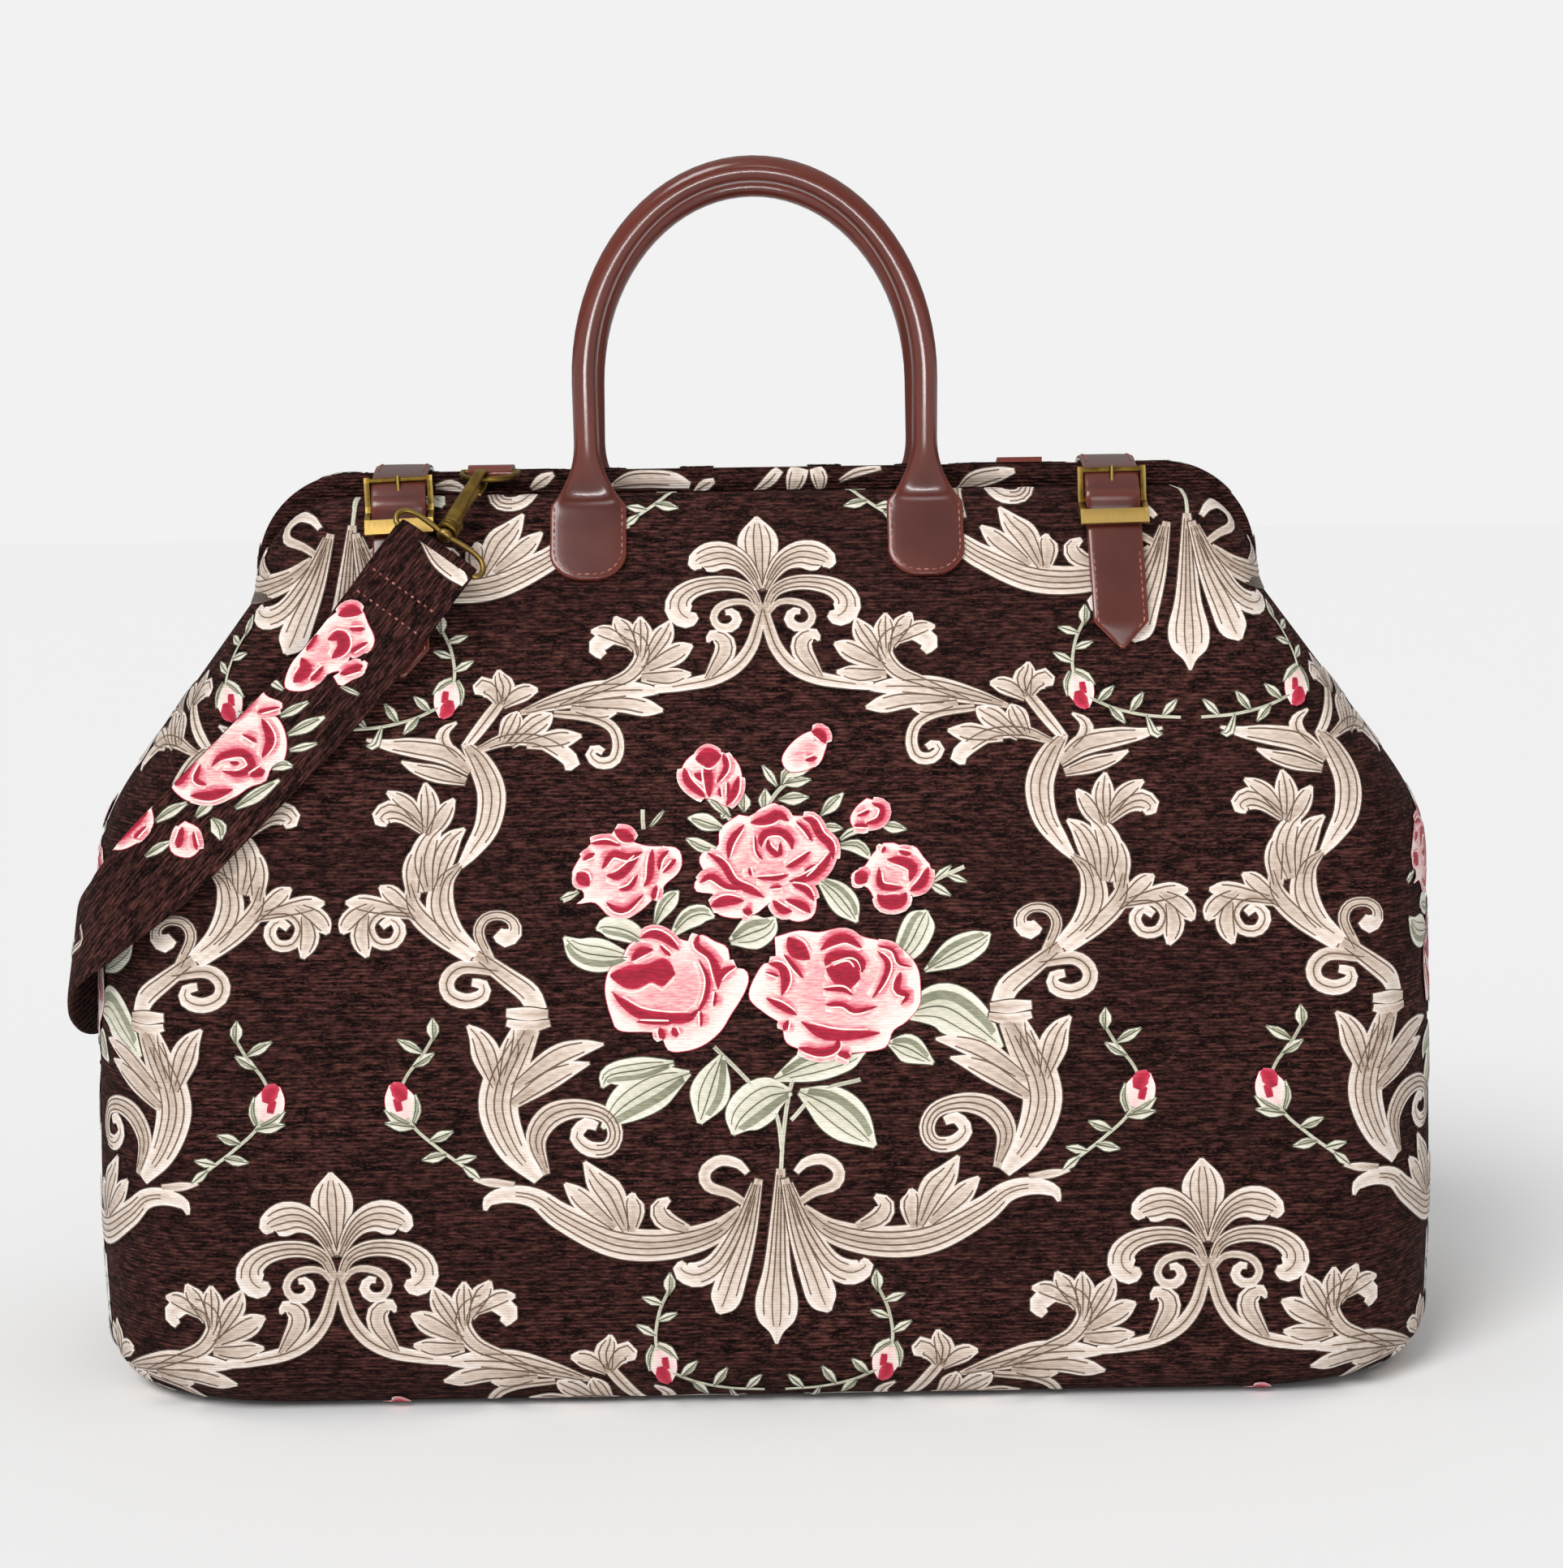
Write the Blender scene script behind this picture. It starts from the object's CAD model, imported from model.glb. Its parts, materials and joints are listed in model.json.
"""Looks of the carpet bag: cloth with its woven pattern, leather, brass, strap, studio and camera."""
import json
import math

import bpy
import numpy as np
from mathutils import Matrix, Vector


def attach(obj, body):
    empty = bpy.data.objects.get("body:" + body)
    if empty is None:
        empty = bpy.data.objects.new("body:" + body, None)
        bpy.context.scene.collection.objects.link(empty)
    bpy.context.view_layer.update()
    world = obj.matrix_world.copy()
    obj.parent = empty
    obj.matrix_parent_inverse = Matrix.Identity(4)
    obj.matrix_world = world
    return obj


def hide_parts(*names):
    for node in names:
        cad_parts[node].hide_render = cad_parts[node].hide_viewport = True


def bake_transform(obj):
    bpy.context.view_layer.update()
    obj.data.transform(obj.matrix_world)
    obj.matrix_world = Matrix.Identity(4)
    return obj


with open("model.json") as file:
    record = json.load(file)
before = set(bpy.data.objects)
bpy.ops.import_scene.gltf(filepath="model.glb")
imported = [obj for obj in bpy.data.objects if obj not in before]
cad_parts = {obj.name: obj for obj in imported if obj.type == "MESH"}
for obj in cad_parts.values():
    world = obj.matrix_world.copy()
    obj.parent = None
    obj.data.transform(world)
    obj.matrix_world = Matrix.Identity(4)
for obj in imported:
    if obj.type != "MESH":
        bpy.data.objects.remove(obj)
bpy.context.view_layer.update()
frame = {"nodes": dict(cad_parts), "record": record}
NODES = frame["nodes"]
MM = 1000.0

# Sizes of the solids, in mm, as the part's source has them
BODY_W, BODY_D = 558.0, 236.0
BASE_R, BELLY_Z = 24.0, 225.0
CORNER_LOW, CORNER_HIGH, SIDE_FLAT = 70.0, 24.0, 50.0
JAW_W, JAW_TOP, JAW_D, JAW_R = 420.0, 360.0, 22.0, 40.0
REAR_RISE, EDGE_R = 10.0, 12.0
FACING_Z, HALF_GAP = 328.0, 0.3
SHOULDER = JAW_TOP - JAW_R
SLOPE = (BODY_W - JAW_W) / 2 / (SHOULDER - BELLY_Z)
DROP, DEPTH_Z = BODY_D / 2 - JAW_D, JAW_TOP * 0.98
BELLY_SOFT, BELLY_OVER, LEG_SLOPE = 6.0, 1.0, 0.1
SIDE_KEEP, FLAT_SHARE, SLOPE_TOP = 2.0, 0.9, 380

# Stuffed cloth, in mm: how far it pulls in at the sides and over which heights, and how deep the lining lies
SIDE_PULL, LOW_PULL, LINING_IN = 4.0, 5.0, 5.0
PULL_ABOVE, PULL_SPAN, LOW_SPAN = 25.0, 60.0, 95.0
# Sag of the cloth: height where it ends, the fades above and below it, its strength and its mean
SAG_TOP, SAG_FADE, SAG_LOW = 285.0, 70.0, 40.0
SAG_GAIN, SAG_MEAN = 0.9, 0.25


# Body surface

def round_in(z):
    q = np.clip(z, 0, BASE_R)
    return BASE_R - np.sqrt(np.maximum(0, BASE_R ** 2 - (BASE_R - q) ** 2))


def half_w(z, rise=0.0):
    z = np.asarray(z, float)
    a = JAW_W / 2 + (SHOULDER - z) * SLOPE
    b = BODY_W / 2 + BELLY_OVER
    low = -BELLY_SOFT * np.logaddexp(-(a - b) / BELLY_SOFT, 0) + b
    leg = JAW_W / 2 + np.maximum(0, SHOULDER + rise - z) * LEG_SLOPE
    up = np.clip(z - SHOULDER - rise, 0, JAW_R)
    jaw = JAW_R - np.sqrt(np.maximum(0, JAW_R ** 2 - up ** 2))
    return np.where(z > SHOULDER, leg, low) - jaw - round_in(z) - pinch(z)


def pinch(z):
    """How far stuffed cloth pulls in at the sides, mm."""
    belly = np.clip((BELLY_Z + PULL_ABOVE - z) / PULL_SPAN, 0, 1)
    low = np.clip(1 - z / LOW_SPAN, 0, 1)
    return SIDE_PULL * belly * belly * (3 - 2 * belly) + LOW_PULL * low * low


def face_d(z):
    return JAW_D + DROP * (1 - (np.asarray(z, float) / DEPTH_Z) ** 2)


def tilt(z):
    return math.atan(2 * DROP * z / DEPTH_Z ** 2)


def edge_z(rise):
    return JAW_TOP + rise - EDGE_R * (1 - math.sin(tilt(JAW_TOP)))


def edge_c(rise):
    e = edge_z(rise)
    return float(face_d(e)) - EDGE_R * math.cos(tilt(e))


def half_d(z, rise=0.0):
    z = np.asarray(z, float)
    over = np.clip(z - JAW_TOP - rise + EDGE_R, 0, EDGE_R)
    top = edge_c(rise) + np.sqrt(np.maximum(0, EDGE_R ** 2 - over ** 2))
    return np.where(z <= edge_z(rise), face_d(z), top) - round_in(z)


def corner(z):
    return CORNER_LOW + (CORNER_HIGH - CORNER_LOW) * np.minimum(1, np.asarray(z, float) / SHOULDER)


def side_flat(z):
    return HALF_GAP + SIDE_KEEP + SIDE_FLAT * np.maximum(0, 1 - np.asarray(z, float) / SHOULDER)


ARC_STEPS = 24
ARC = np.radians(np.linspace(90, 0, ARC_STEPS + 1))


def ring_lengths(z, rise):
    """Half width, half depth, corner, side flat and arc table of a half ring at each height."""
    w, d, c, f = half_w(z, rise), half_d(z, rise), corner(z), side_flat(z)
    f = np.minimum(f, d * FLAT_SHARE)
    x = c[..., None] * np.cos(ARC)
    y = (d - f)[..., None] * np.sin(ARC)
    seg = np.sqrt(np.diff(x, axis=-1) ** 2 + np.diff(y, axis=-1) ** 2)
    table = np.concatenate([np.zeros(seg.shape[:-1] + (1,)), np.cumsum(seg, -1)], -1)
    return w, d, c, f, table


def half_girth(z, rise=0.0):
    w, d, c, f, table = ring_lengths(np.atleast_1d(np.asarray(z, float)), rise)
    return w - c + table[:, -1] + f - HALF_GAP


def sag(p, z):
    """Soft unevenness of stuffed cloth, in mm along the normal: three waves that cross."""
    calm = np.clip((SAG_TOP - z) / SAG_FADE, 0, 1) * np.clip(z / SAG_LOW, 0, 1)
    s = (0.55 * np.sin(p / 61 + 0.9) * np.sin(z / 47 + 0.4) + 0.4 * np.sin(p / 33 - z / 58 + 2.1)
         + 0.25 * np.sin(p / 19 + z / 26 + 0.7))
    return s * calm * SAG_GAIN - SAG_MEAN * calm


def body_point(p, z, rise=0.0, lift=0.0):
    """Place on the front half for girth length p and height z (mm), pushed out by lift."""
    p, z = np.broadcast_arrays(np.asarray(p, float), np.asarray(z, float))
    shape = p.shape
    p, z = p.ravel(), z.ravel()
    lift = np.broadcast_to(np.asarray(lift, float), shape).ravel()
    near = 0.4

    def place(p, z):
        w, d, c, f, table = ring_lengths(z, rise)
        q = np.abs(p)
        t = np.clip(q - (w - c), 0, None)
        i = np.clip((table < t[:, None]).sum(1) - 1, 0, len(ARC) - 2)
        r = np.arange(len(q))
        part = np.clip((t - table[r, i]) / np.maximum(1e-9, table[r, i + 1] - table[r, i]), 0, 1)
        a = ARC[i] + (ARC[i + 1] - ARC[i]) * part
        past = np.clip(t - table[:, -1], 0, f - HALF_GAP)
        x = np.where(q <= w - c, q, w - c + c * np.cos(a))
        y = np.where(q <= w - c, d, f + (d - f) * np.sin(a))
        y = np.where(past > 0, f - past, y)
        return np.stack([np.sign(p) * x, -y, z], -1)

    o = place(p, z)
    du = place(p + near, z) - place(p - near, z)
    dv = place(p, z + near) - place(p, z - near)
    n = np.cross(du, dv)
    n /= np.maximum(1e-9, np.linalg.norm(n, axis=1))[:, None]
    return (o + n * (lift + sag(p, z))[:, None]).reshape(shape + (3,))


# Length up the front's slope, used for the cloth pattern
SLOPE_Z = np.linspace(0, SLOPE_TOP, SLOPE_TOP + 1)
SLOPE_S = np.concatenate([[0], np.cumsum(np.sqrt(1 + np.diff(face_d(SLOPE_Z)) ** 2))])


def s_of_z(z):
    return np.interp(z, SLOPE_Z, SLOPE_S)


def z_of_s(s):
    return np.interp(s, SLOPE_S, SLOPE_Z)


# Camera, at the photograph's viewing angle; focal length and middle in px of the 1926 x 1932 picture frame
EYE = np.array([-0.9, -1350.0, 400.0])
PITCH, YAW, ROLL = 0.121, 0.0072, 0.0146
FOCAL, MID_U, MID_V, FRAME_H = 3942.0, 963.0, 966.0, 1932.0
AHEAD = np.array([math.sin(YAW) * math.cos(PITCH), math.cos(YAW) * math.cos(PITCH), -math.sin(PITCH)])
RIGHT0 = np.array([math.cos(YAW), -math.sin(YAW), 0.0])
UP0 = np.cross(RIGHT0, AHEAD)
RIGHT = RIGHT0 * math.cos(ROLL) - UP0 * math.sin(ROLL)
UP = RIGHT0 * math.sin(ROLL) + UP0 * math.cos(ROLL)
FIRST_REACH, REACH_STEPS, SHORT_OF_SIDE = 1300.0, 12, 0.995


def ray(u, v):
    """Direction from the eye through a point of the picture frame."""
    return AHEAD + RIGHT * ((u - MID_U) / FOCAL)[..., None] + UP * ((MID_V - v) / FOCAL)[..., None]


def seen(points):
    """Where points in mm lie in the picture frame."""
    d = np.asarray(points, float) - EYE
    far = d @ AHEAD
    return np.stack([MID_U + FOCAL * (d @ RIGHT) / far, MID_V - FOCAL * (d @ UP) / far], -1)


def spot(u, v):
    """Girth length and height of the place on the front that lies at a point of the picture frame."""
    u, v = np.asarray(u, float), np.asarray(v, float)
    d = ray(u, v)
    t = np.full(u.shape, FIRST_REACH)
    for _ in range(REACH_STEPS):
        q = EYE + d * t[..., None]
        z = np.clip(q[..., 2], 0, JAW_TOP)
        past = np.clip(np.abs(q[..., 0]) - (half_w(z) - corner(z)), 0, corner(z) * SHORT_OF_SIDE)
        y = side_flat(z) + (half_d(z) - side_flat(z)) * np.sqrt(1 - (past / corner(z)) ** 2)
        t = (-y - EYE[1]) / d[..., 1]
    q = EYE + d * t[..., None]
    z = np.clip(q[..., 2], 0, JAW_TOP)
    w, _, c, f, table = ring_lengths(z, 0.0)
    past = np.clip(np.abs(q[..., 0]) - (w - c), 0, c * SHORT_OF_SIDE)
    a = np.arccos(past / c)
    step = np.clip(((math.pi / 2 - a) / (math.pi / 2) * ARC_STEPS).astype(int), 0, ARC_STEPS)
    arc = np.take_along_axis(table, step[..., None], -1)
    p = np.where(past > 0, w - c + arc[..., 0], np.abs(q[..., 0])) * np.sign(q[..., 0])
    return p, z


# Meshes

CURVE_STEPS = 24
MIRROR_Y = np.array([1, -1, 1])
TURN_ROUND = np.array([-1, -1, 1])


def put(name, verts, faces, mats, ids=None, body="bag", tone=None, replaces=(), slot=None):
    """One mesh piece from points in mm."""
    me = bpy.data.meshes.new(name)
    places = (np.asarray(verts, float) / MM).tolist()
    me.from_pydata(places, [], [tuple(int(i) for i in f) for f in faces])
    for m in mats:
        me.materials.append(m)
    if ids is not None:
        me.polygons.foreach_set("material_index", np.asarray(ids, np.int32))
    me.polygons.foreach_set("use_smooth", [True] * len(me.polygons))
    if tone is not None:
        at = me.attributes.new("tone", "FLOAT", "POINT")
        at.data.foreach_set("value", np.asarray(tone, np.float32))
    me.update()
    ob = bpy.data.objects.new(name, me)
    bpy.context.scene.collection.objects.link(ob)
    if body:
        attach(ob, body)
    if replaces:
        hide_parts(*replaces)
    return ob


def grid_faces(rows, cols, closed=False, start=0):
    out = []
    span = cols if closed else cols - 1
    for j in range(rows - 1):
        low, high = start + j * cols, start + (j + 1) * cols
        for i in range(span):
            k = (i + 1) % cols
            out.append((low + i, low + k, high + k, high + i))
    return out


def flipped(faces):
    return [tuple(reversed(q)) for q in faces]


def run_lengths(path):
    """Length along a line at each of its points."""
    return np.concatenate([[0], np.cumsum(np.linalg.norm(np.diff(path, axis=0), axis=1))])


def smooth_path(points, step):
    """Even points on a smooth curve through the given ones."""
    P = np.asarray(points, float)
    Q = np.vstack([2 * P[0] - P[1], P, 2 * P[-1] - P[-2]])
    out = []
    for i in range(len(P) - 1):
        a, b, c, d = Q[i], Q[i + 1], Q[i + 2], Q[i + 3]
        for t in np.linspace(0, 1, CURVE_STEPS, endpoint=False):
            out.append(0.5 * (2 * b + (c - a) * t + (2 * a - 5 * b + 4 * c - d) * t * t
                              + (3 * b - a - 3 * c + d) * t ** 3))
    out.append(P[-1])
    out = np.array(out)
    lens = run_lengths(out[:, :3])
    n = max(2, int(round(lens[-1] / step)) + 1)
    at = np.linspace(0, lens[-1], n)
    return np.stack([np.interp(at, lens, out[:, k]) for k in range(out.shape[1])], 1)


def unit(v):
    v = np.asarray(v, float)
    return v / np.maximum(1e-9, np.linalg.norm(v, axis=-1, keepdims=True))


def tube(path, across, out, half_a, half_b, power=2.0, sides=16):
    """Sweep of a rounded section; across and out are its axes at each point."""
    n = len(path)
    a = np.linspace(0, 2 * math.pi, sides, endpoint=False)
    ca, sa = np.cos(a), np.sin(a)
    power = np.broadcast_to(np.asarray(power, float), (n,))
    e = (2 / power)[:, None]
    x = np.sign(ca) * np.abs(ca) ** e * np.broadcast_to(half_a, (n,))[:, None]
    y = np.sign(sa) * np.abs(sa) ** e * np.broadcast_to(half_b, (n,))[:, None]
    v = path[:, None, :] + across[:, None, :] * x[..., None] + out[:, None, :] * y[..., None]
    f = grid_faces(n, sides, True)
    f.append(tuple(range(sides - 1, -1, -1)))
    f.append(tuple(range((n - 1) * sides, n * sides)))
    if (np.cross(across, out) * np.gradient(path, axis=0)).sum() < 0:
        f = flipped(f)
    return v.reshape(-1, 3), f


class Heap:
    """Points, faces and material numbers gathered into one mesh."""

    def __init__(self):
        self.v, self.f, self.m, self.t, self.n = [], [], [], [], 0

    def add(self, v, f, m=0, tone=0.5):
        v = np.asarray(v, float).reshape(-1, 3)
        self.v.append(v)
        self.f.extend([tuple(i + self.n for i in q) for q in f])
        self.m.extend([m] * len(f))
        self.t.append(np.broadcast_to(np.asarray(tone, float), (len(v),)))
        self.n += len(v)

    def put(self, name, mats, **more):
        return put(name, np.concatenate(self.v), self.f, mats, self.m, tone=np.concatenate(self.t), **more)


# Materials

BLACK, WHITE = (0, 0, 0, 1), (1, 1, 1, 1)


def lin(r, g, b):
    """Linear colour from 8-bit values."""
    shares = [c / 255 for c in (r, g, b)]
    return tuple(c / 12.92 if c <= 0.0393 else ((c + 0.055) / 1.055) ** 2.4 for c in shares) + (1.0,)


class Mat:
    """A material's node tree with short names for the nodes used here."""

    def __init__(self, name):
        self.m = bpy.data.materials.new(name)
        self.m.use_nodes = True
        self.nt = self.m.node_tree
        self.bsdf = self.nt.nodes["Principled BSDF"]
        tc = self.nt.nodes.new("ShaderNodeTexCoord")
        self.at = tc.outputs["Object"]

    def feed(self, socket, value):
        if isinstance(value, bpy.types.NodeSocket):
            self.nt.links.new(value, socket)
        else:
            socket.default_value = value

    def node(self, kind, ins=None, **props):
        n = self.nt.nodes.new(kind)
        for k, v in props.items():
            setattr(n, k, v)
        for k, v in (ins or {}).items():
            self.feed(n.inputs[k], v)
        return n

    def scaled(self, x, y, z):
        return self.node("ShaderNodeMapping", {"Vector": self.at, "Scale": (x, y, z)}).outputs[0]

    def noise(self, where, scale=1.0, detail=3.0, rough=0.55):
        ins = {"Vector": where, "Scale": scale, "Detail": detail, "Roughness": rough}
        return self.node("ShaderNodeTexNoise", ins).outputs[0]

    def ramp(self, fac, stops):
        n = self.node("ShaderNodeValToRGB", {"Fac": fac})
        cr = n.color_ramp
        while len(cr.elements) < len(stops):
            cr.elements.new(0.5)
        for e, (x, c) in zip(cr.elements, stops):
            e.position, e.color = x, c
        return n.outputs[0]

    def mix(self, fac, a, b):
        n = self.node("ShaderNodeMix", data_type="RGBA", blend_type="MIX")
        for s, v in zip((n.inputs[0], n.inputs[6], n.inputs[7]), (fac, a, b)):
            self.feed(s, v)
        return n.outputs[2]

    def math(self, op, a, b=0.0):
        n = self.node("ShaderNodeMath", operation=op)
        for s, v in zip(n.inputs, (a, b)):
            self.feed(s, v)
        return n.outputs[0]

    def times(self, a, b):
        return self.math("MULTIPLY", a, b)

    def plus(self, a, b):
        return self.math("ADD", a, b)

    def wave(self, axis, period, distortion=0.0, detail=2.0, dscale=1.0):
        ins = {"Vector": self.at, "Scale": 0.31416 / period, "Distortion": distortion, "Detail": detail,
               "Detail Scale": dscale}
        return self.node("ShaderNodeTexWave", ins, wave_type="BANDS", bands_direction=axis).outputs["Fac"]

    def set(self, **vals):
        for k, v in vals.items():
            self.feed(self.bsdf.inputs[k.replace("_", " ")], v)

    def bump(self, height, strength, distance):
        ins = {"Height": height, "Strength": strength, "Distance": distance}
        return self.node("ShaderNodeBump", ins).outputs[0]

    def tone(self):
        return self.node("ShaderNodeAttribute", attribute_name="tone").outputs["Fac"]

    def edges(self, high, colour, light):
        """Colour with worn edges: lighter where the shape is sharp."""
        sharp = self.node("ShaderNodeNewGeometry").outputs["Pointiness"]
        return self.mix(self.ramp(sharp, [(0.5, BLACK), (high, WHITE)]), colour, light)


def cloth_material(name="brown_chenille", turn=0.0):
    """Ribbed chenille: dark slubs and lighter threads drawn out along the ribs."""
    m = Mat(name)
    m.at = m.node("ShaderNodeMapping", {"Vector": m.at, "Rotation": (0.0, turn, 0.0)}).outputs[0]
    slub = m.noise(m.scaled(95, 95, 640), 1.0, 2.0, 0.5)
    dash = m.noise(m.scaled(210, 210, 820), 1.0, 2.0, 0.6)
    fine = m.noise(m.scaled(700, 700, 1600), 1.0, 1.0, 0.5)
    broad = m.noise(m.scaled(10, 10, 22), 1.0, 2.0, 0.5)
    rib = m.wave("Z", 0.00145, 1.6, 2.0, 1.2)
    c = m.ramp(dash, [(0.36, lin(20, 9, 9)), (0.5, lin(62, 35, 32)), (0.66, lin(104, 62, 56))])
    c = m.mix(m.ramp(slub, [(0.39, WHITE), (0.5, BLACK)]), c, lin(7, 3, 3))
    c = m.mix(m.ramp(fine, [(0.5, BLACK), (0.74, (0.5, 0.5, 0.5, 1))]), c, lin(112, 68, 60))
    c = m.mix(m.times(rib, 0.55), c, lin(14, 7, 7))
    c = m.mix(m.ramp(broad, [(0.35, (0.3, 0.3, 0.3, 1)), (0.65, BLACK)]), c, lin(30, 16, 15))
    h = m.plus(m.times(rib, -0.7), m.plus(dash, m.times(slub, 0.8)))
    m.set(Base_Color=c, Roughness=0.92, Normal=m.bump(h, 0.7, 0.0011))
    m.set(Sheen_Weight=0.04, Sheen_Roughness=0.5, Sheen_Tint=lin(150, 100, 90), Specular_IOR_Level=0.08)
    return m.m


def thread_material(name, dark, mid, light, period=0.0011):
    """Woven floats of one colour family; the tone of a stroke moves it from dark to light."""
    m = Mat(name)
    n1 = m.noise(m.scaled(220, 220, 900), 1.0, 2.0, 0.6)
    weft = m.wave("Z", period, 1.2, 2.0, 1.5)
    warp = m.wave("DIAGONAL", period * 2.2, 0.6, 1.0, 1.0)
    fac = m.plus(m.times(m.tone(), 0.62), m.times(n1, 0.38))
    c = m.ramp(fac, [(0.18, dark), (0.5, mid), (0.78, light)])
    c = m.mix(m.times(weft, 0.16), c, dark)
    c = m.mix(m.times(warp, 0.10), c, dark)
    h = m.plus(m.times(weft, -0.6), m.times(warp, -0.3))
    m.set(Base_Color=c, Roughness=0.72, Normal=m.bump(h, 0.45, 0.0006))
    m.set(Sheen_Weight=0.2, Sheen_Roughness=0.4, Specular_IOR_Level=0.3)
    return m.m


def rose_material():
    """Rose floats: the tone runs from crimson through pink to cream, with hatched steps between."""
    m = Mat("rose_thread")
    hatch = m.noise(m.scaled(260, 260, 1500), 1.0, 2.0, 0.6)
    weft = m.wave("Z", 0.0011, 1.2, 2.0, 1.5)
    fac = m.plus(m.tone(), m.times(m.math("SUBTRACT", hatch, 0.5), 0.55))
    c = m.ramp(fac, [(0.02, lin(128, 14, 36)), (0.26, lin(186, 30, 60)), (0.46, lin(214, 92, 110)),
                     (0.62, lin(232, 158, 164)), (0.78, lin(240, 206, 200)), (0.95, lin(250, 236, 228))])
    c = m.mix(m.times(weft, 0.14), c, lin(150, 60, 70))
    m.set(Base_Color=c, Roughness=0.72, Normal=m.bump(weft, 0.4, 0.0006))
    m.set(Sheen_Weight=0.15, Sheen_Roughness=0.4, Specular_IOR_Level=0.25)
    return m.m


def leather_material():
    """Smooth brown leather with fine grain, soft creases and lighter edges."""
    m = Mat("brown_leather")
    grain = {"Vector": m.at, "Scale": 1500.0}
    cells = m.node("ShaderNodeTexVoronoi", grain, feature="DISTANCE_TO_EDGE").outputs[0]
    pull = m.noise(m.at, 30.0, 3.0, 0.5)
    creases = m.noise(m.scaled(160, 160, 420), 1.0, 4.0, 0.65)
    c = m.ramp(pull, [(0.3, lin(72, 29, 23)), (0.5, lin(82, 35, 28)), (0.7, lin(92, 42, 34))])
    c = m.edges(0.56, c, lin(116, 52, 40))
    c = m.mix(m.times(creases, 0.2), c, lin(50, 16, 12))
    h = m.plus(m.times(cells, 0.4), m.times(creases, 0.5))
    m.set(Base_Color=c, Roughness=m.plus(0.13, m.times(pull, 0.14)), Normal=m.bump(h, 0.16, 0.0004))
    m.set(Specular_IOR_Level=0.4, Coat_Weight=0.2, Coat_Roughness=0.1)
    return m.m


def brass_material():
    """Antique brass: uneven brown-gold with fine scratches and bright edges."""
    m = Mat("antique_brass")
    n1 = m.noise(m.at, 160.0, 4.0, 0.65)
    n2 = m.noise(m.scaled(900, 900, 160), 1.0, 2.0, 0.6)
    c = m.ramp(n1, [(0.32, lin(74, 56, 22)), (0.5, lin(104, 82, 33)), (0.72, lin(132, 106, 46))])
    c = m.edges(0.6, c, lin(176, 146, 84))
    m.set(Base_Color=c, Metallic=1.0, Roughness=m.plus(0.3, m.times(n2, 0.25)))
    m.set(Normal=m.bump(n2, 0.12, 0.0003))
    return m.m


def plain_weave(name, dark, light, period):
    m = Mat(name)
    a, b = m.wave("X", period, 0.8), m.wave("Z", period, 0.8)
    c = m.ramp(m.noise(m.at, 120.0), [(0.3, dark), (0.7, light)])
    c = m.mix(m.times(m.times(a, b), 0.4), c, dark)
    m.set(Base_Color=c, Roughness=0.85, Normal=m.bump(m.plus(a, b), 0.3, 0.0004))
    return m.m


def steel_material():
    m = Mat("frame_steel")
    n = m.noise(m.scaled(40, 900, 900), 1.0)
    m.set(Base_Color=m.ramp(n, [(0.3, lin(120, 121, 124)), (0.7, lin(168, 170, 174))]), Metallic=1.0,
          Roughness=m.plus(0.3, m.times(n, 0.2)), Normal=m.bump(n, 0.1, 0.0002))
    return m.m


CLOTH = cloth_material()
STRAP_CLOTH = cloth_material("strap_chenille", math.radians(49))
CREAM = thread_material("cream_thread", lin(158, 134, 116), lin(226, 210, 197), lin(255, 246, 240))
TAUPE = thread_material("taupe_thread", lin(58, 42, 33), lin(116, 94, 76), lin(156, 132, 110))
GREEN = thread_material("leaf_thread", lin(132, 130, 108), lin(212, 208, 188), lin(244, 240, 226))
MOSS = thread_material("moss_thread", lin(54, 54, 42), lin(112, 112, 90), lin(166, 166, 142))
RED = thread_material("red_thread", lin(130, 16, 38), lin(186, 32, 62), lin(216, 84, 106))
BLUSH = thread_material("blush_thread", lin(222, 170, 170), lin(238, 212, 206), lin(250, 236, 230))
ROSE = rose_material()
THREADS = [CREAM, TAUPE, GREEN, MOSS, RED, BLUSH, ROSE]
USE_CREAM, USE_TAUPE, USE_GREEN, USE_MOSS, USE_RED, USE_BLUSH, USE_ROSE = range(len(THREADS))
LEATHER = leather_material()
STITCH = thread_material("sewing_thread", lin(110, 50, 46), lin(168, 96, 84), lin(196, 128, 112), 0.0006)
BRASS = brass_material()
LINING = plain_weave("lining_weave", lin(98, 76, 62), lin(126, 102, 84), 0.0009)
BOARD = plain_weave("board_grain", lin(80, 66, 54), lin(100, 84, 70), 0.002)
STEEL = steel_material()


def paint(names, mat):
    """Gives shown solids their material."""
    for name in names:
        NODES[name].data.materials.clear()
        NODES[name].data.materials.append(mat)


paint(["base_board"], BOARD)
paint(["front_frame", "rear_frame", "left_frame_link", "right_frame_link"], STEEL)


# Cloth body: front and rear panel, base, lining

PANEL_COLS, PANEL_ROWS, ROUND_ROWS = 201, 96, 9
FACING_ROWS, FACING_COLS = 40, 41
RIM_STEPS, RIM_DIP = (0.35, 0.7, 0.93, 1.0), 1.6


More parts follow.
